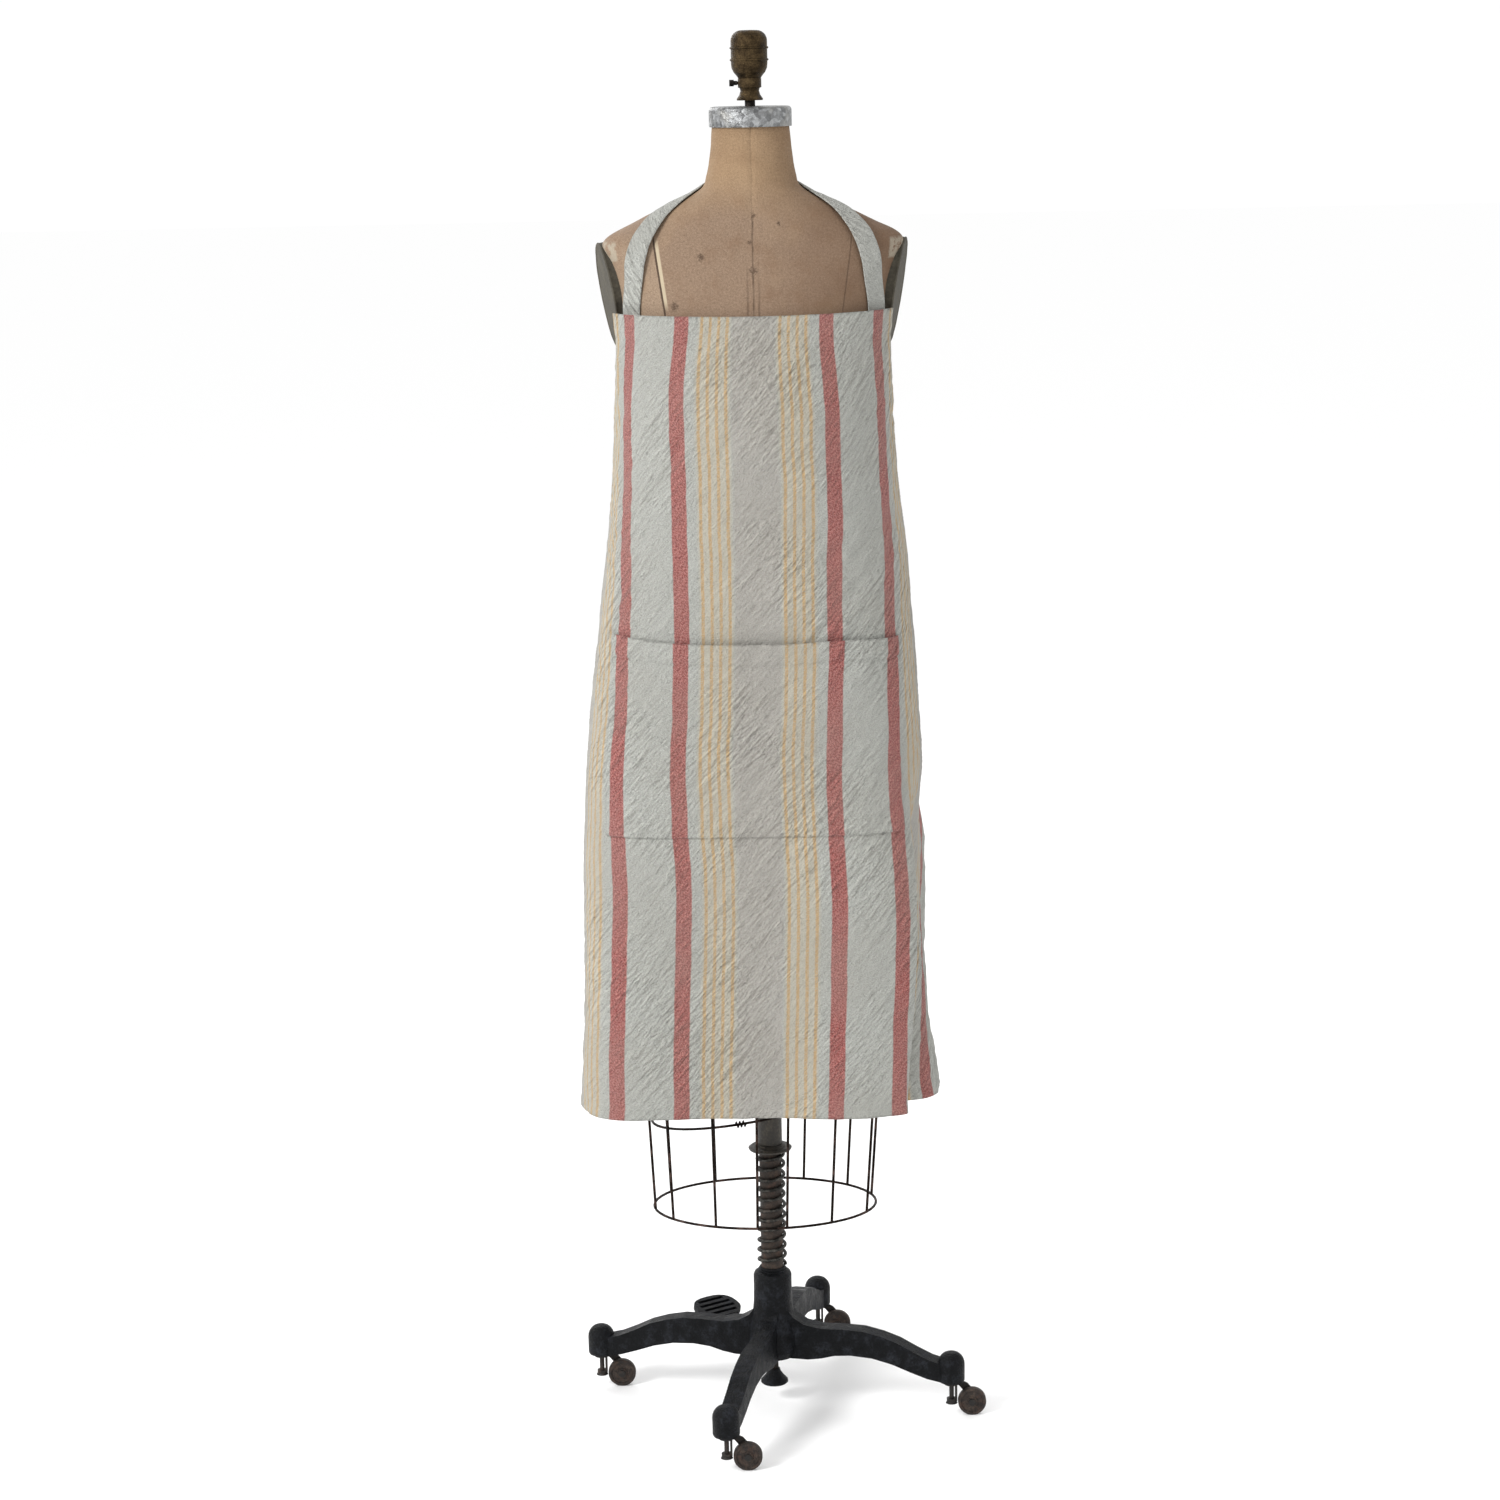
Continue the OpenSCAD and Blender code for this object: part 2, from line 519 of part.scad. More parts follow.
// ---------- casters ----------
// Each caster trails to +X whatever way its leg points.
module at_socket(i) {
    rotate([0, 0, stand_turn + caster_turns[i]]) translate([leg_reach, 0, 0])
        rotate([0, 0, -stand_turn - caster_turns[i]]) children();
}
module caster_stem(i) {
    color("#3a3632") at_socket(i) {
        translate([0, 0, 14.5]) cylinder(r = stem_r, h = 41);
        translate([0, 0, 14.5]) cylinder(r1 = 7, r2 = 5.5, h = 2.4);
    }
}
module caster_horn(i) {
    r = wheel_d / 2;
    color("#2e2a27") at_socket(i) difference() {
        union() {
            translate([0, 0, 37.8]) cylinder(r = 8.5, h = 3.4);
            translate([0, 0, 17.3]) cylinder(r = 5.8, h = 3);
            translate([4, -3, 17.3]) cube([2.6, 6, 23]);
            translate([0, 8.2, 0]) rotate([90, 0, 0]) linear_extrude(2.6)
                polygon([[-3, 41.2], [9, 41.2], [19, 36], [27, 26.5], [29.5, r], [27, r - 4.6], [21, r - 4.6],
                         [18, r], [16, 25], [9, 33.5], [-3, 37.8]]);
        }
        translate([0, 0, 10]) cylinder(r = stem_r + running, h = 35);
        translate([trail, 12, r]) rotate([90, 0, 0]) cylinder(r = axle_r, h = 14);
    }
}
module caster_axle(i) {
    r = wheel_d / 2;
    color("#5a4c40") at_socket(i) translate([trail, 0, r]) rotate([90, 0, 0]) {
        translate([0, 0, -9.4]) cylinder(r = axle_r, h = 15.2);
        translate([0, 0, wheel_w / 2 + 0.7]) cylinder(r = 4, h = 1.8);
    }
}
module caster_wheel(i) {
    r = wheel_d / 2;
    color("#4a3328") at_socket(i) translate([trail, 0, r]) rotate([90, 0, 0]) difference() {
        translate([0, 0, -wheel_w / 2]) rotate_extrude()
            polygon([[0, 0], [r - 1.2, 0], [r, 1.2], [r, wheel_w - 1.2], [r - 1.2, wheel_w],
                     [r - 3.2, wheel_w], [r - 3.8, wheel_w - 1.4], [6.4, wheel_w - 1.4], [5.8, wheel_w],
                     [0, wheel_w]]);
        translate([0, 0, -10]) cylinder(r = axle_r + running, h = 20);
    }
}

// ---------- the assembly ----------
apron_panel();
apron_pocket();
neck_strap();
waist_tie(-1);  // waist_tie_left
waist_tie(1);  // waist_tie_right
tie_bow();
torso_shell();
hip_band();
arm_plate(-1);  // arm_plate_left
arm_plate(1);  // arm_plate_right
neck_block();
neck_cap();
neck_rod();
hip_bracket();
cage_ribs();
cage_bottom_hoop();
cage_middle_hoop();
cage_upper_hoop();
hoop_twist_tie();
finial_shell();
finial_socket();
thumb_screw();
column_tube();
column_flange();
column_rod();
column_spring();
base_casting();
hub_gland();
pedal_pin();
foot_pedal();
floor_screw();
floor_foot();
for (i = [0 : 3]) {
    caster_stem(i);
    caster_horn(i);
    caster_axle(i);
    caster_wheel(i);
}
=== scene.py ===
"""A striped linen apron on an antique dress form with a wire cage and a castered iron stand."""
import math

import bpy
import numpy as np
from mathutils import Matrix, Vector, noise


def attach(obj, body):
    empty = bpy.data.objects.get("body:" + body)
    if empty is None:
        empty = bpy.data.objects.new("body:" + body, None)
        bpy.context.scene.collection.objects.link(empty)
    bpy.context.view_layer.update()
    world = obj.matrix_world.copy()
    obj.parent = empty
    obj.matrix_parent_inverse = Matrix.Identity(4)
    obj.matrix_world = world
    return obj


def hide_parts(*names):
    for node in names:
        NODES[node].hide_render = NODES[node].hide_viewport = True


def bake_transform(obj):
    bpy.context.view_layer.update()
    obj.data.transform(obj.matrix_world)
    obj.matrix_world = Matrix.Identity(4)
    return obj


MM = 0.001

# ---------- camera ----------
camera = bpy.data.objects.new("camera", bpy.data.cameras.new("camera"))
bpy.context.scene.collection.objects.link(camera)
camera.location = (0.0012, -3.925, 1.578)
camera.rotation_mode = "XYZ"
camera.data.lens = 83.7
camera.data.sensor_width = 36
PITCH, ROLL = math.radians(78.65), math.radians(1.125)
camera.rotation_euler = (PITCH, ROLL, 0)
bpy.context.scene.camera = camera

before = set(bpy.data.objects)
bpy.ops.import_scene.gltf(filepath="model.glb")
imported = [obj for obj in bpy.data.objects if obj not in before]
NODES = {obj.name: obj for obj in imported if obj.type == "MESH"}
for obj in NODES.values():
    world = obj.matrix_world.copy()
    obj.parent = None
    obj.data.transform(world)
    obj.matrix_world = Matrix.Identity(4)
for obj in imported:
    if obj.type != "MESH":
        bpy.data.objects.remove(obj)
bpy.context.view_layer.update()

# ---------- the shapes of the torso and the hanging cloth, in millimetres ----------
HIP_Z, NECK_Z, SHELL_T = 722, 1495, 4
TORSO_KEYS = [
    (HIP_Z, 166, 112, 112, 2.25), (800, 171, 115, 122, 2.25), (880, 158, 108, 110, 2.2),
    (960, 136, 99, 92, 2.15), (1020, 122, 94, 84, 2.1), (1100, 133, 105, 90, 2.15),
    (1190, 145, 122, 99, 2.3), (1250, 144, 115, 101, 2.35), (1310, 153, 98, 100, 2.45),
    (1350, 163, 82, 94, 2.45), (1368, 168, 74, 88, 2.4), (1378, 160, 69, 83, 2.3),
    (1390, 136, 64, 77, 2.2), (1403, 110, 59, 70, 2.1), (1416, 78, 54, 63, 2.05),
    (1428, 56, 50, 57, 2), (1442, 50, 47, 51, 2), (1465, 46, 44, 47, 2), (NECK_Z, 43, 42, 44, 2),
]
BIB_Z, FALL, CLOTH_T = 1296, 0.99, 2.2
APRON_W, APRON_L, BIB_W = 700, 914, 350
POCKET_W, POCKET_H, POCKET_DROP = 336, 228, 356
APRON_KEYS = [
    (380, 208, 134, 112, 5, -5, 72, 47), (434, 205, 134, 115, 4.8, -6, 70, 51.5),
    (500, 202, 134, 118, 4.5, -5, 62, 58), (600, 200.5, 134, 124, 4.1, -4.5, 50, 64),
    (672, 198.5, 134, 127, 3.9, -6.5, 34, 66), (720, 193.5, 133, 128, 3.6, -9, 18, 68),
    (778, 189, 132, 128, 3.4, -10.5, 0, 70), (850, 184, 130, 128, 3.1, -8, 0, 70),
    (950, 174.5, 127, 122, 2.8, -4.5, 0, 70), (1010, 169, 127, 118, 2.6, -2.5, 0, 70),
    (1085, 160, 129, 114, 2.5, -2.5, 0, 70), (1170, 154.5, 132, 112, 2.4, -2.5, 0, 70),
    (1240, 155.5, 126, 112, 2.45, -2, 0, 70), (1300, 159, 107, 110, 2.65, -1, 0, 70),
]
CUT_KEYS = [
    (0, BIB_W / 2), (40, BIB_W / 2 + 2), (80, BIB_W / 2 + 14), (130, BIB_W / 2 + 38), (210, APRON_W * 0.382),
    (290, APRON_W * 0.474), (340, APRON_W * 0.497), (400, APRON_W / 2), (1000, APRON_W / 2),
]
FLUTE_FRONT, FLUTE_BACK = 8.5, 27
FOLD_TAKE = 36
PATTERN_KEYS = [
    (0, 1), (300, 1), (430, 3), (523, 3), (582, 3), (630, 2), (663, 1), (703, -1), (743, -2),
    (804, -3.5), (871, -5), (925, -7),
]
STRAP_W = 26
STRAP_HALF = [
    ((135.7, -61.3, 1287), (0.68, -0.74, 0)), ((135.1, -61.3, 1306), (0.67, -0.74, 0.08)),
    ((132.4, -62.2, 1330), (0.6, -0.79, 0.12)), ((129.9, -62.6, 1354), (0.48, -0.85, 0.22)),
    ((120.8, -55.4, 1379.4), (0.38, -0.7, 0.6)), ((104.8, -34.8, 1400.7), (0.38, -0.42, 0.82)),
    ((88, -17.1, 1413.3), (0.4, -0.2, 0.9)), ((70.4, 4, 1422.3), (0.42, 0.05, 0.91)),
    ((59.7, 31.5, 1426), (0.5, 0.42, 0.76)), ((42.5, 55, 1422.8), (0.46, 0.7, 0.54)),
    ((20.4, 63.6, 1419), (0.2, 0.86, 0.47)), ((0, 65.4, 1417.7), (0, 0.89, 0.45)),
]
TIE_HALF = [
    ((152.7, 84.5, 972), (0.72, 0.69, 0)), ((139, 97, 969), (0.5, 0.87, 0)),
    ((110, 98.5, 964), (0.1, 1, 0)), ((70, 98, 958), (0, 1, 0)), ((24, 98, 951), (0, 1, 0)),
    ((16, 101, 935), (0, 1, 0.2)), ((18, 108, 904), (0, 1, 0.2)), ((21, 117, 870), (0, 1, 0.2)),
    ((24, 124.5, 835), (0, 1, 0.1)), ((28, 126.5, 800), (0, 1, 0)), ((34, 125, 700), (0, 1, 0)),
]
EDGE_SHIFT = -3.3
BOW_HALF = [
    ((8, 108, 950), (0, 1, 0.1)), ((26, 117, 961), (0, 0.8, 0.6)), ((50, 123, 962), (0.1, 0.3, 0.95)),
    ((70, 119, 946), (0.9, 0.2, 0.3)), ((62, 114, 926), (0.3, 0.5, -0.8)), ((36, 112, 931), (0, 0.85, -0.5)),
    ((10, 110, 944), (0, 1, -0.2)),
]
SPRING_TURNS, SPRING_LOW, SPRING_HIGH, SPRING_RADIUS, WIRE_RADIUS = 11, 170.2, 306.4, 15.5, 2.0
PLATE_Z, PLATE_Y, PLATE_LEAN = 1312, 4, 9.5


def smooth(keys, column, x):
    """A smooth curve through one column of a key table."""
    k = np.asarray(keys, float)
    x = np.asarray(x, float)
    i = np.clip(np.searchsorted(k[:, 0], x, side="right") - 1, 0, len(k) - 2)
    lo, hi = np.maximum(i - 1, 0), np.minimum(i + 2, len(k) - 1)
    h = k[i + 1, 0] - k[i, 0]
    s = np.clip((x - k[i, 0]) / h, 0, 1)
    m = (k[i + 1, column] - k[lo, column]) / (k[i + 1, 0] - k[lo, 0]) * h
    n = (k[hi, column] - k[i, column]) / (k[hi, 0] - k[i, 0]) * h
    p, q = k[i, column], k[i + 1, column]
    return ((2 * s**3 - 3 * s**2 + 1) * p + (s**3 - 2 * s**2 + s) * m
            + (3 * s**2 - 2 * s**3) * q + (s**3 - s**2) * n)


def oval(a, f, b, n, degrees):
    """A squarish oval: half width a, depths f in front and b behind, squareness n."""
    q = np.radians(degrees)
    x = np.sign(np.sin(q)) * np.abs(np.sin(q)) ** (2 / n) * a
    y = -np.where(np.cos(q) > 0, f, b) * np.sign(np.cos(q)) * np.abs(np.cos(q)) ** (2 / n)
    return x, y


def cloth_point(degrees, z, lift=0.0):
    x, y = oval(*(smooth(APRON_KEYS, c, z) + (lift if c < 4 else 0) for c in (1, 2, 3, 4)), degrees)
    past = degrees - smooth(APRON_KEYS, 7, z)
    flute = smooth(APRON_KEYS, 6, z) * np.exp(-((past / np.where(past < 0, FLUTE_FRONT, FLUTE_BACK)) ** 2))
    s = 1 - flute / np.hypot(x, y)
    return np.stack([x * s + smooth(APRON_KEYS, 5, z), y * s, np.broadcast_to(z, x.shape)], -1)


def cloth_at(u, v, lift=0.0):
    """Points of the hanging cloth for flat coordinates: u from the middle, v down from the bib."""
    q = 177 * np.linspace(0, 1, 700) ** 2.5
    out = np.zeros(u.shape + (3,))
    for row in range(u.shape[0]):
        z = BIB_Z - v[row] * FALL
        mean = float(z.mean())
        right, left = cloth_point(q, mean), cloth_point(-q, mean)
        s_right = np.r_[0, np.cumsum(np.linalg.norm(np.diff(right, axis=0), axis=1))]
        s_left = np.r_[0, np.cumsum(np.linalg.norm(np.diff(left, axis=0), axis=1))]
        angle = np.where(u[row] < 0, -np.interp(-u[row], s_left, q), np.interp(u[row], s_right, q))
        out[row] = cloth_point(angle, mean, lift)
        out[row, :, 2] = z
    return out


def cloth_uv(u, v):
    """Flat coordinates for the stripes, which lean a little where the cloth hangs free."""
    spread = 0.98 + 0.03 * np.exp(-(((v - 400) / 120) ** 2)) + 0.1 * ease(v, 110, 0)
    taken = FOLD_TAKE * ease(v, 560, 900) * ease(u, 185, 260)
    return np.stack([u * spread - smooth(PATTERN_KEYS, 1, v) + taken, -v], -1) * MM


def normals(grid):
    du = np.gradient(grid, axis=1)
    dv = np.gradient(grid, axis=0)
    n = np.cross(du, -dv)
    return n / np.maximum(np.linalg.norm(n, axis=-1, keepdims=True), 1e-9)


def noise_grid(x, y, z=0.0):
    """Smooth noise in -1..1 sampled over two arrays of coordinates."""
    flat = [noise.noise(Vector((a, b, z))) for a, b in zip(x.ravel(), y.ravel())]
    return np.array(flat).reshape(x.shape)


def ease(x, a, b):
    s = np.clip((x - a) / (b - a), 0, 1)
    return s * s * (3 - 2 * s)


# ---------- mesh building ----------
def mesh_object(name, verts, faces, body=None):
    """A smooth-shaded object from vertices in millimetres, riding on a body if one is given."""
    mesh = bpy.data.meshes.new(name)
    mesh.from_pydata([tuple(v) for v in np.asarray(verts, float) * MM], [], faces)
    mesh.update()
    mesh.polygons.foreach_set("use_smooth", [True] * len(mesh.polygons))
    obj = bpy.data.objects.new(name, mesh)
    bpy.context.scene.collection.objects.link(obj)
    if body:
        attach(obj, body)
    return obj


def set_uv(obj, uv_per_vertex, name="flat"):
    """Gives every vertex one UV, in metres of flat cloth."""
    mesh = obj.data
    layer = mesh.uv_layers.new(name=name)
    index = np.zeros(len(mesh.loops), int)
    mesh.loops.foreach_get("vertex_index", index)
    layer.data.foreach_set("uv", np.asarray(uv_per_vertex, float)[index].ravel())


def grid_faces(rows, cols, closed=False):
    last = cols if closed else cols - 1
    return [(i * cols + j, i * cols + (j + 1) % cols, (i + 1) * cols + (j + 1) % cols, (i + 1) * cols + j)
            for i in range(rows - 1) for j in range(last)]


def grid_object(name, grid, body, uv=None, closed=False):
    rows, cols = grid.shape[:2]
    if closed:
        grid = np.concatenate([grid, grid[:, :1]], axis=1)
        cols += 1
    obj = mesh_object(name, grid.reshape(-1, 3), grid_faces(rows, cols), body)
    if uv is not None:
        set_uv(obj, uv.reshape(-1, 2))
    return obj


def add(obj, kind, **settings):
    modifier = obj.modifiers.new(kind.lower(), kind)
    for key, value in settings.items():
        setattr(modifier, key, value)
    return modifier


def apply_modifiers(obj):
    """Puts the evaluated mesh in place of the object's own."""
    graph = bpy.context.evaluated_depsgraph_get()
    mesh = bpy.data.meshes.new_from_object(obj.evaluated_get(graph))
    obj.modifiers.clear()
    obj.data = mesh
    mesh.polygons.foreach_set("use_smooth", [True] * len(mesh.polygons))


def catmull(points, count):
    """A smooth path through the points, with evenly spaced samples."""
    p = np.asarray(points, float)
    ext = np.vstack([2 * p[0] - p[1], p, 2 * p[-1] - p[-2]])
    out = []
    for i in range(1, len(ext) - 2):
        for s in np.linspace(0, 1, 24, endpoint=False):
            a, b, c, d = ext[i - 1:i + 3]
            out.append(0.5 * (2 * b + (c - a) * s + (2 * a - 5 * b + 4 * c - d) * s**2
                              + (3 * b - 3 * c + d - a) * s**3))
    out = np.array(out + [p[-1]])
    length = np.r_[0, np.cumsum(np.linalg.norm(np.diff(out[:, :3], axis=0), axis=1))]
    even = np.linspace(0, length[-1], count)
    return np.stack([np.interp(even, length, out[:, c]) for c in range(out.shape[1])], -1), length[-1]


def tube(name, points, radius, sides):
    """A round wire along points, one mesh that rides on no body yet."""
    p = np.asarray(points, float)
    t = np.gradient(p, axis=0)
    t /= np.linalg.norm(t, axis=1, keepdims=True)
    u = np.cross(t, [0.013, 0.021, 1.0])
    u /= np.linalg.norm(u, axis=1, keepdims=True)
    for i in range(1, len(p)):  # carry the frame along so that the wire doesn't twist
        u[i] = u[i - 1] - t[i] * np.dot(u[i - 1], t[i])
        u[i] /= np.linalg.norm(u[i])
    v = np.cross(t, u)
    q = np.radians(np.arange(sides) * 360 / sides)
    c, s = np.cos(q)[None, :, None], np.sin(q)[None, :, None]
    grid = p[:, None] + radius * (c * u[:, None] + s * v[:, None])
    last = (len(p) - 1) * sides
    ends = [tuple(range(sides))[::-1], tuple(last + j for j in range(sides))]
    return mesh_object(name, grid.reshape(-1, 3), grid_faces(len(p), sides, closed=True) + ends)


# ---------- materials ----------
class Shader:
    """A small builder for node materials."""

    def __init__(self, name, colour=(0.5, 0.5, 0.5), roughness=0.6, metallic=0.0):
        self.material = bpy.data.materials.new(name)
        self.material.use_nodes = True
        self.tree = self.material.node_tree
        self.bsdf = self.tree.nodes["Principled BSDF"]
        self.set(**{"Base Color": (*colour, 1), "Roughness": roughness, "Metallic": metallic})

    def set(self, **values):
        for key, value in values.items():
            socket = self.bsdf.inputs[key]
            if hasattr(value, "is_output"):
                self.tree.links.new(value, socket)
            else:
                socket.default_value = value

    def node(self, kind, inputs=None, **settings):
        n = self.tree.nodes.new(kind)
        for key, value in settings.items():
            setattr(n, key, value)
        for key, value in (inputs or {}).items():
            socket = n.inputs[key]
            if hasattr(value, "is_output"):
                self.tree.links.new(value, socket)
            else:
                socket.default_value = value
        return n

    def math(self, operation, a, b=0.0):
        return self.node("ShaderNodeMath", {0: a, 1: b}, operation=operation).outputs[0]

    def times(self, a, b):
        return self.math("MULTIPLY", a, b)

    def plus(self, a, b):
        return self.math("ADD", a, b)

    def minus(self, a, b):
        return self.math("SUBTRACT", a, b)

    def larger(self, a, b):
        return self.math("MAXIMUM", a, b)

    def apart(self, a, b):
        """How far a and b are apart."""
        return self.math("ABSOLUTE", self.minus(a, b))

    def uv(self):
        out = self.node("ShaderNodeUVMap", uv_map="flat").outputs[0]
        xyz = self.node("ShaderNodeSeparateXYZ", {0: out})
        return xyz.outputs[0], xyz.outputs[1], out

    def position(self):
        return self.node("ShaderNodeTexCoord").outputs["Object"]

    def scaled(self, vector, scale, rotation=(0, 0, 0)):
        return self.node("ShaderNodeMapping", {0: vector, "Scale": scale, "Rotation": rotation}).outputs[0]

    def slanted(self, vector, degrees, scale):
        """Coordinates turned by an angle first, then scaled, for marks that run along that angle."""
        turned = self.scaled(vector, (1, 1, 1), (0, 0, -math.radians(degrees)))
        return self.scaled(turned, scale)

    def ridges(self, vector, detail=3.0, roughness=0.5):
        """Sharp creases: 1 on the crease lines, falling away on both sides."""
        level = self.noise(vector, 1.0, detail, roughness)
        return self.range(self.apart(level, 0.5), 0.0, 0.22, 1.0, 0.0)

    def noise(self, vector, scale, detail=4.0, roughness=0.55):
        inputs = {"Vector": vector, "Scale": scale, "Detail": detail, "Roughness": roughness}
        inputs["Distortion"] = 0.0
        return self.node("ShaderNodeTexNoise", inputs).outputs[0]

    def unsteady(self, vector, scale, amount, detail=4.0, roughness=0.55):
        """Noise around zero, with the given full swing."""
        return self.times(self.minus(self.noise(vector, scale, detail, roughness), 0.5), amount)

    def cells(self, vector, scale):
        """A random tone for each cell."""
        colour = self.node("ShaderNodeTexVoronoi", {"Vector": vector, "Scale": scale}).outputs["Color"]
        return self.node("ShaderNodeSeparateXYZ", {0: colour}).outputs[0]

    def ramp(self, value, places, tones):
        """A colour ramp through screen tones."""
        n = self.node("ShaderNodeValToRGB", {0: value})
        e = n.color_ramp.elements
        while len(e) < len(tones):
            e.new(0.5)
        for item, at, tone in zip(e, places, tones):
            item.position = at
            item.color = (*srgb(*tone), 1)
        return n.outputs[0]

    def range(self, value, low, high, to_low=0.0, to_high=1.0):
        return self.node("ShaderNodeMapRange", {0: value, 1: low, 2: high, 3: to_low, 4: to_high}).outputs[0]

    def mix(self, factor, a, b, kind="MIX"):
        n = self.node("ShaderNodeMix", data_type="RGBA", blend_type=kind)
        for index, value in ((0, factor), (6, a), (7, b)):
            socket = n.inputs[index]
            if hasattr(value, "is_output"):
                self.tree.links.new(value, socket)
            else:
                socket.default_value = value if index == 0 else (*value[:3], 1)
        return n.outputs[2]

    def bump(self, height, distance, strength=1.0, below=None):
        inputs = {"Height": height, "Distance": distance, "Strength": strength}
        if below is not None:
            inputs["Normal"] = below
        return self.node("ShaderNodeBump", inputs).outputs[0]


def srgb(r, g, b):
    """Linear colour from 0-255 values as seen on screen."""
    return tuple(((c / 255 + 0.055) / 1.055) ** 2.4 if c > 10 else c / 255 / 12.92 for c in (r, g, b))


def band(s, value, low, high, soft):
    """1 where value is between low and high, with soft edges."""
    return s.times(s.range(value, low - soft, low + soft), s.range(value, high + soft, high - soft))


# Distances of the stripes from the middle of their repeat, in millimetres.
REPEAT, MIDDLE_BAND, CREAM_FROM, CREAM_TO = 240.0, 25.0, 26.5, 64.0
YELLOW_LINES, YELLOW_HALF = (30.5, 40.5, 50.5, 60.5), 1.7
RED_FROM, RED_TO = 76.2, 93.4


def stripes(s, u, uv, threads, plain):
    """The plain cloth's colour with the woven stripes laid over it."""
    drift = s.unsteady(s.scaled(uv, (3, 7, 1)), 1.0, 9.0, 2)
    ragged = s.unsteady(uv, 700, 1.6, 2)
    across = s.plus(s.times(u, 1000.0), s.plus(drift, ragged))
    half = REPEAT / 2
    t = s.apart(s.math("FLOORED_MODULO", s.plus(across, half), REPEAT), half)
    base = s.mix(s.times(s.range(t, MIDDLE_BAND + 2, MIDDLE_BAND - 2), 0.42), plain, srgb(156, 146, 138))
    base = s.mix(s.times(band(s, t, CREAM_FROM, CREAM_TO, 1.5), 0.5), base, srgb(184, 174, 152))
    dash = s.range(s.noise(s.scaled(uv, (500, 900, 1)), 1.0, 2), 0.34, 0.54, 0.3, 1.0)
    for line in YELLOW_LINES:
        mask = s.times(band(s, t, line - YELLOW_HALF, line + YELLOW_HALF, 0.5), dash)
        base = s.mix(s.times(mask, 0.78), base, srgb(184, 144, 82))
    fleck = s.noise(s.slanted(uv, 38, (900, 420, 1)), 1.0, 2, 0.6)
    red = s.mix(s.range(fleck, 0.42, 0.60, 0.0, 0.95), srgb(116, 42, 42), srgb(184, 126, 118))
    red = s.mix(s.range(threads, 0.42, 0.62, 0.0, 0.4), red, srgb(164, 88, 82))
    return s.mix(band(s, t, RED_FROM, RED_TO, 0.6), base, red)


def linen(name, striped):
    """Crinkled linen with painted light and shade on its creases; the stripes run down the cloth."""
    s = Shader(name, srgb(170, 170, 163), 0.9)
    u, v, uv = s.uv()
    cross = s.noise(s.scaled(uv, (1900, 620, 1)), 1.0, 3, 0.6)
    down = s.noise(s.scaled(uv, (620, 1900, 1)), 1.0, 3, 0.6)
    threads = s.plus(s.times(cross, 0.5), s.times(down, 0.5))
    base = s.ramp(threads, (0.36, 0.5, 0.64), ((130, 131, 125), (167, 168, 162), (198, 199, 194)))
    if striped:
        base = stripes(s, u, uv, threads, base)
    base = s.mix(s.range(s.noise(uv, 8, 4), 0.38, 0.7, 0.0, 0.22), base, srgb(140, 134, 122))

    def wide(at):
        return s.ridges(s.slanted(at, 52, (14, 95, 1)), 3, 0.55)

    def creases(at):
        narrow = s.ridges(s.slanted(at, 44, (46, 160, 1)), 3, 0.6)
        return s.plus(s.times(wide(at), 0.6), s.times(narrow, 0.4))

    where = s.range(s.noise(uv, 7, 3), 0.42, 0.6, 0.15, 1.0)
    wide_crease = wide(uv)
    cross_crease = s.ridges(s.slanted(uv, 118, (20, 80, 1)), 4, 0.55)
    crinkle = s.ridges(s.slanted(uv, 45, (90, 190, 1)), 4, 0.6)
    # Painted shade: the linen is painted darker between the crease ridges, so the ridges read as lit.
    shade = s.times(s.plus(s.times(wide_crease, 0.6), s.times(crinkle, 0.4)), where)
    base = s.mix(s.range(shade, 0.0, 0.9, 0.14, 0.0), base, srgb(112, 110, 104))
    # Painted light and shade on the creases: each crease is painted a little paler along one side and darker
    # along the other, as if lit from one side.
    beside = s.node("ShaderNodeVectorMath", {0: uv, 1: (0.0015, -0.0013, 0)}, operation="ADD").outputs[0]
    side = s.times(s.minus(creases(uv), creases(beside)), where)
    # Painted highlight on the lit side of each crease.
    paler = s.mix(1.0, base, (1.25, 1.25, 1.24), "MULTIPLY")
    base = s.mix(s.range(side, 0.0, 0.22, 0.0, 0.75), base, paler)
    # Painted shadow on the shaded side of each crease.
    painted_crease_shadow = s.mix(1.0, base, (0.68, 0.67, 0.65), "MULTIPLY")
    base = s.mix(s.range(side, 0.0, -0.22, 0.0, 0.75), base, painted_crease_shadow)
    s.set(**{"Base Color": base, "Sheen Weight": 0.15, "Sheen Roughness": 0.6, "Specular IOR Level": 0.2})
    crepe = s.noise(s.scaled(uv, (330, 240, 1)), 1.0, 5, 0.65)
    n = s.bump(s.times(wide_crease, where), 0.0036, 0.9)
    n = s.bump(s.times(cross_crease, where), 0.0020, 0.8, n)
    n = s.bump(crinkle, 0.0022, 0.9, n)
    n = s.bump(crepe, 0.0016, 0.9, n)
    s.set(Normal=s.bump(threads, 0.0009, 0.9, n))
    return s


# Where things are on the canvas, in metres: heights, and distances round from the middle of the front.
NECK_FROM, NECK_TO = 1.395, 1.445
SLIT_LOW, SLIT_TOP = 1.297, 1.377
SLIT_LOW_U, SLIT_TOP_U = -0.1000, -0.1105
DARK_SPOTS = (
    (0.0012, 1.3995, 0.0036), (0.0005, 1.341, 0.0060), (-0.0570, 1.357, 0.0055),
    (0.0290, 1.391, 0.0030), (-0.0030, 1.372, 0.0030), (-0.088, 1.304, 0.006),
)


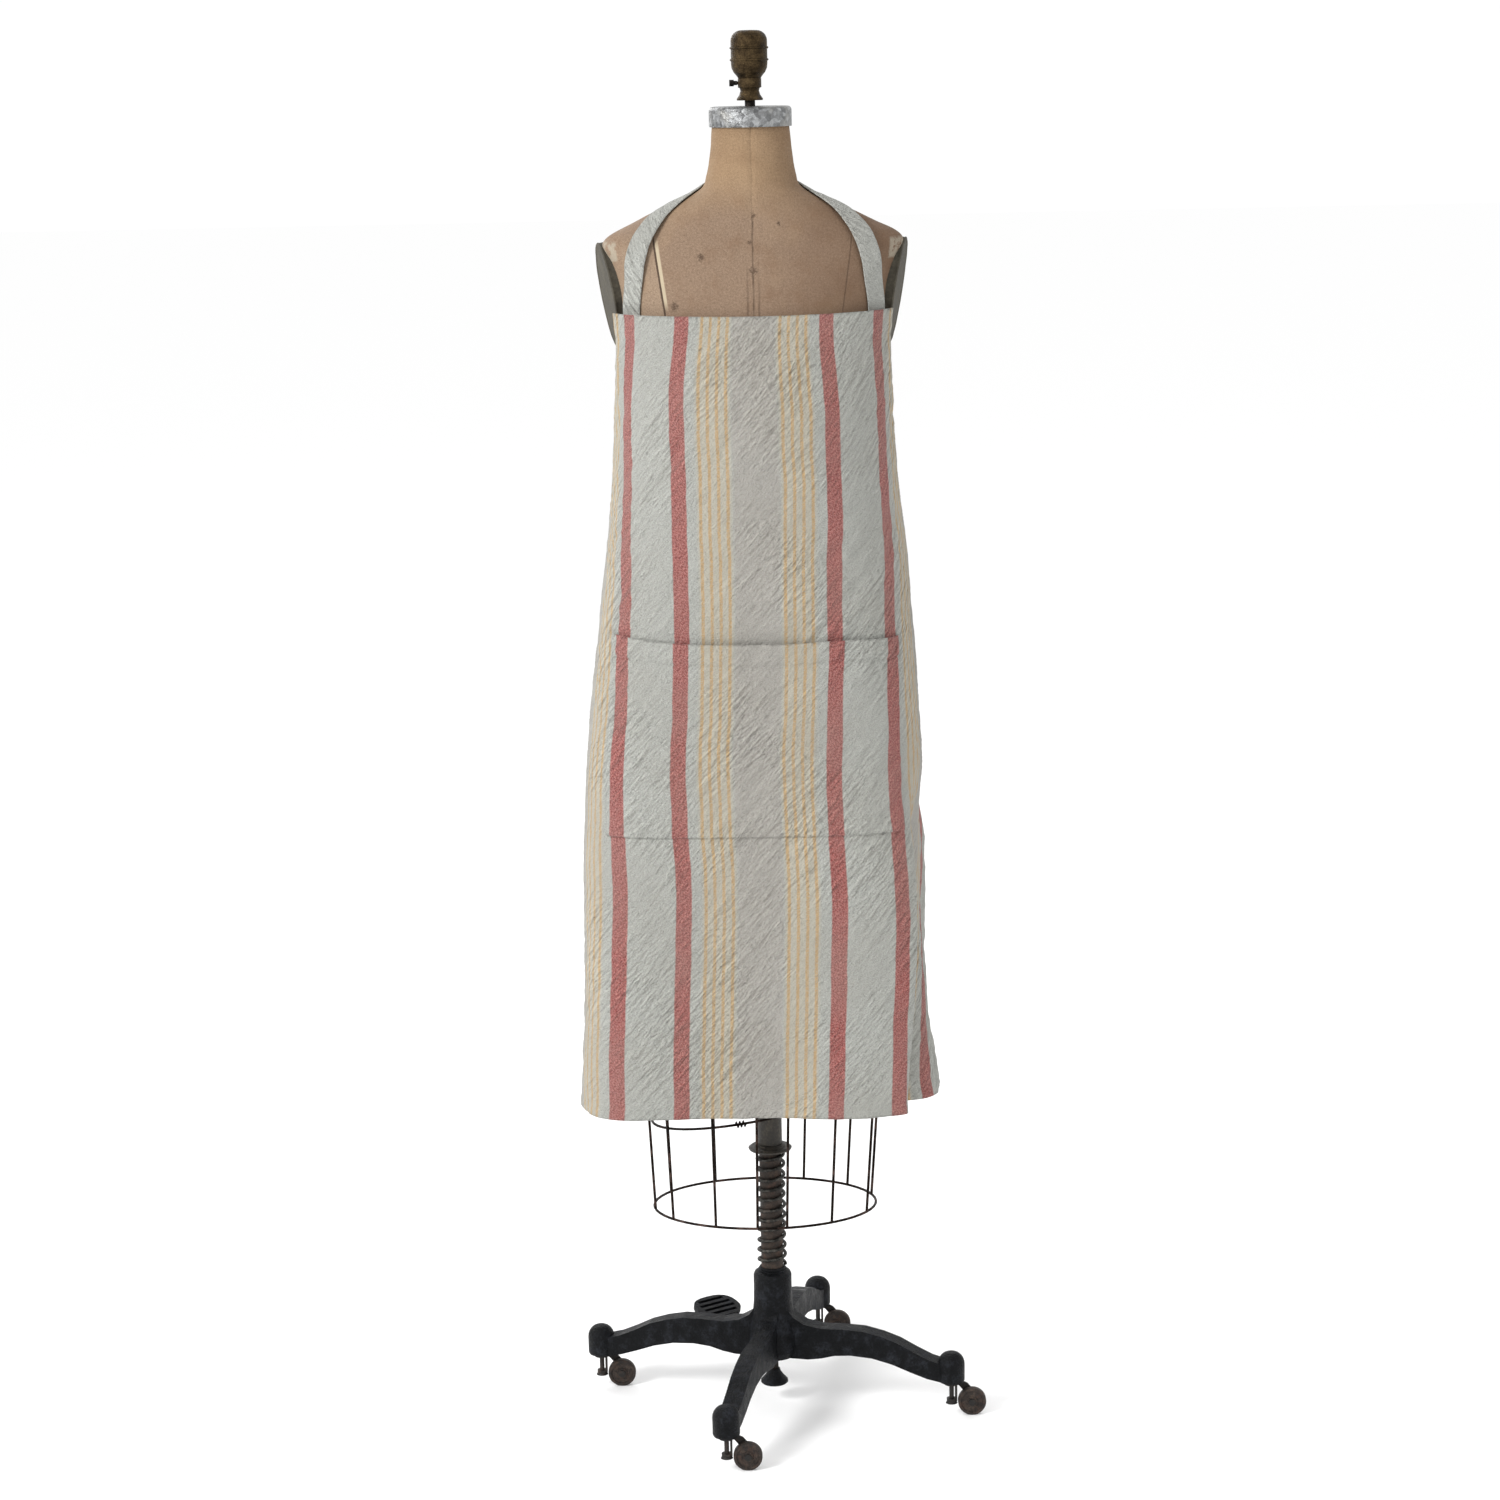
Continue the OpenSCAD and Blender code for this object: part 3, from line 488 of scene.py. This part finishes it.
def canvas_cloth(s, u, v, uv, grain, mottle, slit_at):
    """The canvas's colour: warmer on the neck, paler left of the slit, and painted shade making the right
    side darker and browner.
    """
    places = (0.36, 0.5, 0.64)
    chest = s.ramp(grain, places, ((104, 86, 70), (134, 112, 93), (156, 134, 113)))
    neck = s.ramp(grain, places, ((108, 86, 64), (139, 114, 87), (162, 136, 107)))
    flank = s.ramp(grain, places, ((112, 94, 77), (144, 123, 103), (168, 148, 126)))
    base = s.mix(s.range(v, NECK_FROM, NECK_TO), chest, neck)
    beyond = s.times(s.range(s.minus(slit_at, u), -0.001, 0.0005), s.range(u, -0.330, -0.240))
    base = s.mix(s.times(beyond, s.range(v, 1.385, 1.365)), base, flank)
    base = s.mix(s.range(mottle, 0.5, 0.72, 0.0, 0.4), base, srgb(112, 84, 62))
    base = s.mix(s.range(s.noise(uv, 6.5, 4, 0.6), 0.48, 0.7, 0.0, 0.35), base, srgb(172, 146, 116))
    # Painted shade: the right side of the front is painted darker and browner, in uneven patches.
    right_side_painted_shade = s.times(s.range(u, 0.0, 0.13), s.range(s.noise(uv, 12, 4), 0.3, 0.6, 0.45, 0.8))
    right_side_painted_shade = s.times(right_side_painted_shade, s.range(u, 0.38, 0.22, 0.25, 1.0))
    base = s.mix(right_side_painted_shade, base, s.mix(grain, srgb(70, 50, 36), srgb(118, 90, 68)))
    flecks = s.range(s.noise(uv, 420, 2), 0.66, 0.72)
    return s.mix(s.times(flecks, 0.35), base, srgb(88, 62, 46))


def canvas_seams(s, u, v, uv, ax, slit_at):
    """Dark lines: the middle seam, the pair beside it, the open seam on the left and its twin."""
    broken = s.range(s.noise(s.scaled(uv, (1, 40, 1)), 1.0, 3), 0.36, 0.6, 0.1, 0.75)
    middle = s.times(s.range(ax, 0.0011, 0.0004), broken)
    middle = s.times(middle, s.range(v, 1.398, 1.412, 1.0, 0.3))
    pair = s.times(s.range(s.apart(ax, 0.0062), 0.0016, 0.0003), s.times(s.range(v, 1.356, 1.305), 0.45))
    below_top = s.range(v, SLIT_TOP + 0.003, SLIT_TOP - 0.003)
    slit = s.times(s.range(s.apart(u, slit_at), 0.0013, 0.0007), below_top)
    twin_at = s.math("ABSOLUTE", s.plus(u, slit_at))
    twin = s.times(s.range(twin_at, 0.0010, 0.0003), s.times(below_top, 0.5))
    return s.larger(s.larger(middle, pair), s.larger(slit, twin))


def canvas_dark_spots(s, uv):
    # Small spots painted darker and dented by the bump.
    marks = None
    for at_u, at_v, size in DARK_SPOTS:
        d = s.node("ShaderNodeVectorMath", {0: uv, 1: (at_u, at_v, 0)}, operation="DISTANCE").outputs["Value"]
        d = s.plus(d, s.unsteady(uv, 480, size * 4.5, 5, 0.75))
        spot = s.range(d, size * 0.62, size * 0.1)
        marks = spot if marks is None else s.larger(marks, spot)
    return marks


def canvas():
    """Aged canvas over a stiff shell, with seams, small dark spots, pale shoulder patches and painted shade
    on the right.
    """
    s = Shader("canvas", srgb(144, 120, 100), 0.82)
    u, v, uv = s.uv()
    weave = s.noise(s.scaled(uv, (1400, 1400, 1)), 1.0, 3, 0.7)
    grain = s.plus(s.times(weave, 0.6), s.times(s.noise(uv, 430, 4, 0.7), 0.4))
    mottle = s.noise(uv, 34, 6, 0.65)
    slit_at = s.range(v, SLIT_LOW, SLIT_TOP, SLIT_LOW_U, SLIT_TOP_U)
    base = canvas_cloth(s, u, v, uv, grain, mottle, slit_at)
    ax = s.math("ABSOLUTE", s.plus(u, s.unsteady(s.scaled(uv, (1, 30, 1)), 1.0, 0.003, 2)))
    dark = canvas_seams(s, u, v, uv, ax, slit_at)
    past = s.minus(u, slit_at)
    lip = s.times(s.times(s.range(past, 0.0006, 0.0014), s.range(past, 0.0056, 0.0044)),
                  s.times(s.range(v, 1.378, 1.366), s.range(v, 1.298, 1.310)))
    base = s.mix(s.times(lip, 0.8), base, srgb(190, 176, 150))
    base = s.mix(s.times(dark, 0.8), base, srgb(52, 36, 26))
    marks = canvas_dark_spots(s, uv)
    base = s.mix(s.times(marks, 0.6), base, srgb(66, 46, 34))
    patch = s.times(s.times(s.range(ax, 0.157, 0.160), s.range(ax, 0.196, 0.190)),
                    s.times(s.range(v, 1.349, 1.352), s.range(v, 1.374, 1.370)))
    torn = s.range(s.noise(uv, 95, 5, 0.65), 0.42, 0.5)
    pale = s.mix(grain, srgb(136, 130, 116), srgb(190, 182, 164))
    base = s.mix(s.times(s.times(patch, torn), 0.6), base, pale)
    rough = s.range(mottle, 0.3, 0.7, 0.72, 0.92)
    s.set(**{"Base Color": base, "Specular IOR Level": 0.25, "Roughness": rough})
    hollow = s.minus(1.0, s.larger(dark, s.times(marks, 0.6)))
    n = s.bump(hollow, 0.0014, 0.8)
    n = s.bump(mottle, 0.0040, 0.7, n)
    s.set(Normal=s.bump(grain, 0.0016, 0.9, n))
    return s


def metal(name, tones, roughness, scale, metallic=1.0, bump=0.0006, rust=None, rust_at=None):
    """Mottled metal or enamel in three screen tones, with optional rust."""
    s = Shader(name, srgb(*tones[1]), 0.5, metallic)
    p = s.position()
    broad = s.noise(p, scale, 6, 0.6)
    fine = s.noise(p, scale * 7, 4, 0.6)
    both = s.plus(s.times(broad, 0.65), s.times(fine, 0.35))
    base = s.ramp(both, (0.34, 0.5, 0.68), tones)
    rough = s.range(broad, 0.3, 0.7, *roughness)
    if rust is not None:
        spread = s.range(s.noise(p, scale * 0.5, 7, 0.7), *rust_at)
        bright = srgb(*rust)
        base = s.mix(spread, base, s.mix(fine, tuple(c * 0.55 for c in bright), bright))
        rough = s.larger(rough, s.times(spread, 0.85))
        s.set(Metallic=s.range(spread, 0.0, 1.0, metallic, 0.1))
    s.set(**{"Base Color": base, "Roughness": rough})
    n = s.bump(broad, bump * 3, 0.5)
    s.set(Normal=s.bump(fine, bump, 0.7, n))
    return s


def zinc():
    """Galvanised sheet with small bright spangles and grey stains."""
    s = Shader("zinc", srgb(150, 152, 155), 0.35, 0.9)
    p = s.position()
    tone = s.cells(p, 210)
    veins = s.ridges(s.scaled(p, (120, 120, 120)), 5, 0.6)
    stain = s.noise(p, 60, 7, 0.7)
    base = s.ramp(tone, (0.0, 0.5, 1.0), ((100, 101, 102), (132, 133, 134), (172, 174, 175)))
    base = s.mix(s.range(stain, 0.44, 0.66, 0.0, 0.6), base, srgb(66, 66, 64))
    base = s.mix(s.range(veins, 0.72, 1.0, 0.0, 0.4), base, srgb(84, 83, 81))
    wear = s.range(s.noise(p, 30, 5, 0.6), 0.52, 0.66)
    base = s.mix(s.times(wear, 0.5), base, srgb(186, 184, 178))
    s.set(**{"Base Color": base, "Roughness": s.range(tone, 0.0, 1.0, 0.28, 0.5)})
    n = s.bump(veins, 0.0006, 0.7)
    s.set(Normal=s.bump(s.noise(p, 90, 5, 0.65), 0.0022, 0.7, n))
    return s


def tape():
    """Brown twill tape with a visible rib and worn places."""
    s = Shader("tape", srgb(92, 70, 50), 0.9)
    u, v, uv = s.uv()
    inputs = {"Vector": s.slanted(uv, 45, (1, 1, 1)), "Scale": 420.0, "Distortion": 1.5, "Detail": 2.0}
    rib = s.node("ShaderNodeTexWave", inputs).outputs["Fac"]
    worn = s.noise(uv, 60, 5, 0.6)
    base = s.mix(rib, srgb(74, 55, 39), srgb(112, 87, 63))
    base = s.mix(s.range(worn, 0.45, 0.7, 0.0, 0.5), base, srgb(58, 42, 30))
    s.set(**{"Base Color": base, "Roughness": s.range(worn, 0.3, 0.7, 0.8, 0.95)})
    s.set(Normal=s.bump(rib, 0.0004, 0.8))
    return s


CLOTH = linen("striped_linen", True)
PLAIN = linen("plain_linen", False)
CANVAS = canvas()
ZINC = zinc()
BRONZE = metal("bronze", ((28, 22, 15), (60, 49, 34), (98, 82, 58)), (0.42, 0.68), 110, bump=0.0010)
DARK_STEEL = metal("dark_steel", ((18, 17, 16), (36, 33, 31), (72, 66, 60)), (0.4, 0.65), 110)
WIRE = metal("cage_wire", ((14, 11, 9), (28, 22, 19), (58, 47, 39)), (0.45, 0.65), 120,
             rust=(74, 46, 34), rust_at=(0.52, 0.66))
COLUMN = metal("column_enamel", ((24, 22, 19), (44, 40, 34), (76, 70, 60)), (0.42, 0.62), 60,
               metallic=0.3, rust=(70, 48, 36), rust_at=(0.58, 0.72), bump=0.0008)
ROD = metal("rod_rust", ((24, 20, 17), (46, 37, 31), (76, 62, 52)), (0.5, 0.75), 90,
            metallic=0.4, rust=(74, 48, 36), rust_at=(0.52, 0.68), bump=0.0009)
SPRING = metal("spring_steel", ((24, 24, 23), (54, 53, 51), (108, 105, 99)), (0.38, 0.6), 160,
               rust=(70, 48, 36), rust_at=(0.58, 0.72))
IRON = metal("black_iron", ((7, 8, 9), (15, 16, 18), (40, 42, 47)), (0.34, 0.6), 70,
             metallic=0.0, bump=0.0016, rust=(62, 56, 50), rust_at=(0.70, 0.80))
IRON.set(**{"Specular IOR Level": 0.09})
CASTER = metal("caster_iron", ((14, 13, 12), (28, 25, 23), (56, 48, 42)), (0.45, 0.7), 140,
               metallic=0.4, rust=(60, 42, 32), rust_at=(0.56, 0.72))
WHEEL = metal("wheel_rust", ((20, 16, 14), (46, 37, 32), (92, 80, 70)), (0.5, 0.8), 190,
              metallic=0.3, bump=0.0014, rust=(66, 45, 34), rust_at=(0.5, 0.64))
PLATE = metal("plate_paint", ((50, 47, 40), (66, 62, 53), (86, 82, 71)), (0.6, 0.8), 50,
              metallic=0.0, rust=(44, 35, 27), rust_at=(0.64, 0.74))
PLATE.set(**{"Specular IOR Level": 0.2})
TIMBER = metal("timber", ((84, 58, 36), (120, 86, 54), (150, 112, 74)), (0.6, 0.8), 40, metallic=0.0)
TAPE = tape()


def paint(obj, shader):
    obj.data.materials.clear()
    obj.data.materials.append(shader.material)


# ---------- apron ----------
def sheet_solid(obj, thickness):
    add(obj, "SOLIDIFY", thickness=thickness * MM, offset=0.0)


def apron_relief(u, v):
    """Folds and creases of the linen, outwards, in millimetres."""
    low = ease(v, 420, APRON_L)
    left = 5.5 * np.cos((u + 185) / 34.0 * 0.9) * np.exp(-(((u + 150) / 80) ** 2))
    right = 6.0 * np.exp(-(((u - 95) / 55) ** 2)) - 5.0 * np.exp(-(((u - 20) / 50) ** 2))
    folds = low * (left + right - 4.0 * np.exp(-(((u + 60) / 30) ** 2)))
    folds += 2.4 * noise_grid(u / 95, v / 420, 3.1) * (0.35 + low)
    slant_a = noise_grid((u * 0.84 + v * 0.54) / 19, (u * -0.54 + v * 0.84) / 95, 7.7)
    slant_b = noise_grid((u * 0.7 + v * 0.7) / 9.5, (u * -0.7 + v * 0.7) / 42, 1.3)
    ridges = (0.5 - np.abs(slant_a)) * 2.9 + (0.4 - np.abs(slant_b)) * 1.5
    patchy = ease(noise_grid(u / 120, v / 120, 9.2), -0.35, 0.35)
    fine = noise_grid(u / 5.5, v / 8, 4.4) * 0.5
    return folds + ridges * (0.45 + 0.75 * patchy) + fine


def half_cut(v):
    return smooth(CUT_KEYS, 1, v)


def make_panel():
    rows, cols = ((262, 200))
    v = np.linspace(0, APRON_L, rows)
    u = np.linspace(-1, 1, cols)[None, :] * half_cut(v)[:, None]
    vv = np.repeat(v[:, None], cols, 1)
    bib_dip = 3.0 * np.exp(-((u / 120) ** 2)) * ease(vv, 80, 0)
    grid = cloth_at(u, vv + bib_dip, CLOTH_T / 2)
    edge = np.minimum(half_cut(v)[:, None] - np.abs(u), APRON_L - vv)
    hem = 0.7 * ease(edge, 12, 10) - 0.5 * np.exp(-(((edge - 11) / 1.6) ** 2))
    top = 0.8 * ease(vv, 27, 24) - 0.6 * np.exp(-(((vv - 26) / 1.8) ** 2))
    tame = 0.35 + 0.65 * ease(vv, 0, 60)
    lift = apron_relief(u, vv) * tame + hem + top
    grid += normals(grid) * lift[..., None]
    obj = grid_object("apron_cloth", grid, "form", cloth_uv(u, vv))
    sheet_solid(obj, 1.3)
    paint(obj, CLOTH)
    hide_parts("apron_panel")
    area = 2 * np.trapz(half_cut(v), v) * MM * MM
    return obj, float(area)


def make_pocket():
    rows, cols = ((84, 120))
    w = POCKET_W / 2
    s = np.linspace(0, 1, rows)[:, None]
    u = np.repeat(np.linspace(-w, w, cols)[None, :], rows, 0)
    side = np.abs(u) / w
    sag = 8.5 * (1 - side**2.5) * (1 - 0.3 * ease(u, 30, 168)) + 8.5 * ease(u, 70, 168)
    v = POCKET_DROP + sag * (1 - s) ** 1.5 + POCKET_H * s
    straight = POCKET_DROP + POCKET_H * np.repeat(s, cols, 1)
    grid = cloth_at(u, straight, CLOTH_T + 1.0)
    grid[..., 2] -= (v - (POCKET_DROP + POCKET_H * s)) * FALL
    gape = 3.2 + 2.4 * np.exp(-(((u - 118) / 36) ** 2)) + 1.6 * np.cos(u / 38)
    open_top = ease(1 - s, 0.55, 1.0) * (1 - side**4) * gape
    edge = np.minimum(w - np.abs(u), POCKET_H * (1 - s))
    seam = 0.5 * ease(edge, 7, 5) - 0.5 * np.exp(-(((edge - 6) / 1.3) ** 2)) - 1.3 * ease(edge, 3, 0)
    band_top = 1.1 * ease(POCKET_H * s, 25, 21) - 1.4 * np.exp(-(((POCKET_H * s - 24) / 2.2) ** 2))
    lift = apron_relief(u, v) + seam + band_top + open_top
    grid += normals(grid) * lift[..., None]
    obj = grid_object("apron_pocket_cloth", grid, "form", cloth_uv(u, straight))
    sheet_solid(obj, 1.3)
    paint(obj, CLOTH)
    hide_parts("apron_pocket")
    return obj


def ribbon(name, keys, count):
    """A flat strap along (point, facing) keys; returns the object and its length in metres."""
    width, curl = STRAP_W, 0.6
    path, length = catmull([p + f for p, f in keys], count)
    p, face = path[:, :3], path[:, 3:]
    along = np.gradient(p, axis=0)
    along /= np.linalg.norm(along, axis=1, keepdims=True)
    side = np.cross(face, along)
    side /= np.linalg.norm(side, axis=1, keepdims=True)
    up = np.cross(along, side)
    cols = 9
    a = np.linspace(-0.5, 0.5, cols)
    s = np.linspace(0, length, count)
    stitched = (np.abs(a) > 0.4) * (np.abs(a) < 0.49)
    rise = (0.5 * stitched - curl * 4 * a**2)[None, :]
    wave = np.array([[noise.noise(Vector((x / 22, k * 3.0, width))) for k in a] for x in s]) * 0.8
    grid = p[:, None] + side[:, None] * (a * width)[None, :, None] + up[:, None] * (rise + wave)[..., None]
    uv = np.stack([np.repeat((a * width)[None, :], count, 0), np.repeat(s[:, None], cols, 1)], -1) * MM
    obj = grid_object(name, grid, "form", uv)
    add(obj, "SOLIDIFY", thickness=1.8 * MM, offset=0.0)
    add(obj, "SUBSURF", levels=1, render_levels=1)
    paint(obj, PLAIN)
    return obj, length * MM


def mirror_keys(keys):
    return [((-p[0], p[1], p[2]), (-f[0], f[1], f[2])) for p, f in keys]


panel, panel_area = make_panel()
pocket = make_pocket()
strap_keys = STRAP_HALF + mirror_keys(STRAP_HALF)[-2::-1]
strap, strap_length = ribbon("neck_strap_cloth", strap_keys, 220)
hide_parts("neck_strap")
for side, keys in (("right", TIE_HALF), ("left", mirror_keys(TIE_HALF))):
    keys = [((p[0] + EDGE_SHIFT, p[1], p[2]), f) if i < 2 else (p, f) for i, (p, f) in enumerate(keys)]
    tie, tie_length = ribbon("waist_tie_cloth_" + side, keys, 150)
    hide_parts("waist_tie_" + side)
for side, keys in (("right", BOW_HALF), ("left", mirror_keys(BOW_HALF))):
    loop, loop_length = ribbon("bow_loop_" + side, keys, 70)


def make_knot():
    """The bow's knot: a pulled-in band round the middle."""
    q = np.linspace(0, 2 * np.pi, 33)[:-1]
    rows = []
    for s in np.linspace(-1, 1, 13):
        w = 1 + 0.25 * s * s
        x = 9.0 * np.sign(np.cos(q)) * np.abs(np.cos(q)) ** 0.7 * w
        y = 110.5 + 5.6 * np.sign(np.sin(q)) * np.abs(np.sin(q)) ** 0.7 + 0.5 * np.cos(5 * q + 3 * s)
        rows.append(np.stack([x + 0.7 * np.sin(7 * s), y, 944 + 12.5 * s + 0 * q], -1))
    grid = np.array(rows)
    ends = [tuple(range(32))[::-1], tuple(12 * 32 + j for j in range(32))]
    obj = mesh_object("bow_knot", grid.reshape(-1, 3), grid_faces(13, 32, closed=True) + ends, "form")
    set_uv(obj, grid.reshape(-1, 3)[:, [0, 2]] * MM)
    add(obj, "SUBSURF", levels=1, render_levels=1)
    paint(obj, PLAIN)
    return obj


knot = make_knot()
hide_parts("tie_bow")


# ---------- torso ----------
def make_torso():
    rows, cols = ((300, 260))
    z = np.concatenate([np.linspace(HIP_Z, 1340, rows * 2 // 3, endpoint=False),
                        np.linspace(1340, NECK_Z + 10, rows - rows * 2 // 3)])
    q = np.linspace(-180, 180, cols + 1)
    uu = np.zeros((len(z), cols + 1))
    grid = np.zeros((len(z), cols + 1, 3))
    for i, h in enumerate(z):
        x, y = oval(*(smooth(TORSO_KEYS, c, h) for c in (1, 2, 3, 4)), q)
        grid[i] = np.stack([x, y, np.full_like(x, h)], -1)
        s = np.r_[0, np.cumsum(np.hypot(np.diff(x), np.diff(y)))]
        uu[i] = s - np.interp(0, q, s)
    zz = np.repeat(z[:, None], cols + 1, 1)
    lumps = 0.9 * noise_grid(uu / 60, zz / 60, 2.0) + 0.35 * noise_grid(uu / 18, zz / 18, 5.0)
    lumps[:, -1] = lumps[:, 0]
    back = np.abs(np.abs(uu) - np.abs(uu).max(axis=1, keepdims=True))
    for line in (np.abs(uu), back):
        lumps -= 0.7 * np.exp(-((line / 3.0) ** 2))
    n = -normals(grid[::-1])[::-1]
    outward = np.sign((n[..., :2] * grid[..., :2]).sum(-1, keepdims=True))
    grid += n * outward * lumps[..., None]
    obj = grid_object("torso_canvas", grid, "form", np.stack([uu, zz], -1) * MM)
    add(obj, "WELD", merge_threshold=0.00005)
    apply_modifiers(obj)
    add(obj, "SOLIDIFY", thickness=SHELL_T * MM, offset=-1.0)
    paint(obj, CANVAS)
    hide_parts("torso_shell")


make_torso()


def turn(axis, degrees):
    """Rotation matrix about a main axis."""
    c, s = math.cos(math.radians(degrees)), math.sin(math.radians(degrees))
    i, j = [(1, 2), (2, 0), (0, 1)][axis]
    m = np.eye(3)
    m[i, i], m[i, j], m[j, i], m[j, j] = c, -s, s, c
    return m


def make_arm_plate(name, side, x, turned):
    """An oval plate with a rolled edge and a rim that reaches in to the canvas."""
    m = turn(2, -side * turned) @ turn(1, side * PLATE_LEAN) @ turn(2, side * 90) @ turn(0, 90)
    q = np.radians(np.arange(0, 360, 3.0))

    def ring(width, height, out):
        flat = np.stack([np.cos(q) * width / 2, np.sin(q) * height / 2, np.full_like(q, out)], -1)
        return flat @ m.T + [side * x, PLATE_Y, PLATE_Z]

    outer = ring(94, 118, 0.2)
    inward = np.zeros_like(outer)
    for k, p in enumerate(outer):
        for depth in np.arange(0.5, 30, 0.5):
            at = p - m[:, 2] * depth
            a, f, b, n = (float(smooth(TORSO_KEYS, c, at[2])) for c in (1, 2, 3, 4))
            if abs(at[0] / a) ** n + abs(at[1] / (f if at[1] < 0 else b)) ** n < 0.985:
                break
        inward[k] = at
    rows = [inward, 0.5 * (inward + outer), outer, ring(95.2, 119.2, 0.9), ring(95, 119, 1.6),
            ring(93.6, 117.6, 2.3), ring(91, 115, 2.7), ring(88, 112, 2.6), ring(85, 109, 2.0)]
    rows += [ring(85 * k, 109 * k, 2.0 + 0.5 * (1 - k * k)) for k in (0.85, 0.65, 0.45, 0.25, 0.08)]
    grid = np.array(rows)
    grid[3:] += m[:, 2] * (0.25 * noise_grid(grid[3:, :, 1] / 14, grid[3:, :, 2] / 14, side))[..., None]
    middle = tuple((len(rows) - 1) * len(q) + j for j in range(len(q)))
    faces = grid_faces(len(rows), len(q), closed=True) + [middle]
    obj = mesh_object(name + "_disc", grid.reshape(-1, 3), faces, "form")
    paint(obj, PLATE)
    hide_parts(name)


make_arm_plate("arm_plate_left", -1, 161.7, 11)
make_arm_plate("arm_plate_right", 1, 160, 8)


def make_hip_band():
    """Woven tape round the lower rim of the torso."""
    low, high, steps = HIP_Z + 1.2, HIP_Z + 13.8, 240
    q = np.linspace(-180, 180, steps + 1)[:-1]
    rows = []
    for z in np.linspace(low, high, 9):
        edge = min(z - low, high - z)
        out = 0.95 + 0.35 * float(ease(edge, 0.4, 2.2))
        x, y = oval(*(smooth(TORSO_KEYS, c, z) + (out if c < 4 else 0) for c in (1, 2, 3, 4)), q)
        rows.append(np.stack([x, y, z + 0.25 * np.sin(q / 7.0)], -1))
    grid = np.array(rows)
    around = np.r_[0, np.cumsum(np.linalg.norm(np.diff(grid[0], axis=0), axis=1))]
    length = around[-1] + np.linalg.norm(grid[0][0] - grid[0][-1])
    up = np.repeat(grid[:, :1, 2] - HIP_Z, steps + 1, 1)
    uv = np.stack([up, np.repeat(np.r_[around, length][None], len(rows), 0)], -1)
    obj = grid_object("hip_band_tape", grid, "form", uv * MM, closed=True)
    add(obj, "WELD", merge_threshold=0.00005)
    add(obj, "SOLIDIFY", thickness=0.9 * MM, offset=0.0)
    paint(obj, TAPE)
    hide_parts("hip_band")


make_hip_band()


def make_spring():
    """The coil spring, its turns slightly uneven."""
    s = np.linspace(0, 1, SPRING_TURNS * 40 + 1)
    a = 2 * np.pi * SPRING_TURNS * s
    r = SPRING_RADIUS + 0.25 * np.sin(5 * np.pi * s)
    z = SPRING_LOW + (SPRING_HIGH - SPRING_LOW) * s + 0.5 * np.sin(7 * np.pi * s)
    points = np.stack([r * np.cos(a), r * np.sin(a), z], -1)
    obj = tube("spring_coil", points, WIRE_RADIUS, 14)
    paint(obj, SPRING)
    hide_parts("column_spring")
    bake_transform(obj)


make_spring()

# ---------- carried-over CAD nodes ----------
PAINTED = (
    (TIMBER, ["neck_block"]),
    (ZINC, ["neck_cap"]),
    (DARK_STEEL, ["neck_rod", "hip_bracket", "thumb_screw", "pedal_pin", "floor_screw"]),
    (WIRE, ["cage_ribs", "cage_bottom_hoop", "cage_middle_hoop", "cage_upper_hoop", "hoop_twist_tie"]),
    (BRONZE, ["finial_shell", "finial_socket"]),
    (COLUMN, ["column_tube", "column_flange"]),
    (ROD, ["column_rod"]),
    (IRON, ["base_casting", "hub_gland", "foot_pedal", "floor_foot"]),
)
for shader, names in PAINTED:
    for name in names:
        paint(NODES[name], shader)
for place in ("right", "back", "left", "front"):
    for part, shader in (("stem", CASTER), ("horn", CASTER), ("axle", CASTER), ("wheel", WHEEL)):
        paint(NODES[f"caster_{part}_{place}"], shader)

# ---------- floor and light ----------
floor = bpy.data.meshes.new("floor")
S = 30.0
floor.from_pydata([(-S, -S, 0), (S, -S, 0), (S, S, 0), (-S, S, 0)], [], [(0, 1, 2, 3)])
floor_obj = bpy.data.objects.new("floor", floor)
bpy.context.scene.collection.objects.link(floor_obj)
FLOOR = Shader("floor_white", (0.97, 0.97, 0.97), 0.9)
FLOOR.set(**{"Specular IOR Level": 0.0})
paint(floor_obj, FLOOR)

world = bpy.data.worlds.new("studio")
bpy.context.scene.world = world
world.use_nodes = True
world.node_tree.nodes["Background"].inputs[0].default_value = (1, 1, 1, 1)
world.node_tree.nodes["Background"].inputs[1].default_value = 1.02


def area_light(name, at, target, size, power):
    light = bpy.data.lights.new(name, "AREA")
    light.shape = "RECTANGLE"
    light.size, light.size_y = size
    light.energy = power
    obj = bpy.data.objects.new(name, light)
    bpy.context.scene.collection.objects.link(obj)
    obj.location = at
    obj.rotation_euler = (Vector(target) - Vector(at)).to_track_quat("-Z", "Y").to_euler()


area_light("key", (-3.0, -2.3, 2.9), (0, 0, 0.95), (1.2, 1.2), 135)
area_light("fill", (3.0, -2.6, 1.6), (0, 0, 0.8), (2.0, 2.0), 12)
area_light("rim", (-1.5, 2.6, 2.4), (0, 0, 1.0), (1.5, 1.5), 30)
bpy.context.scene.view_settings.view_transform = "Standard"
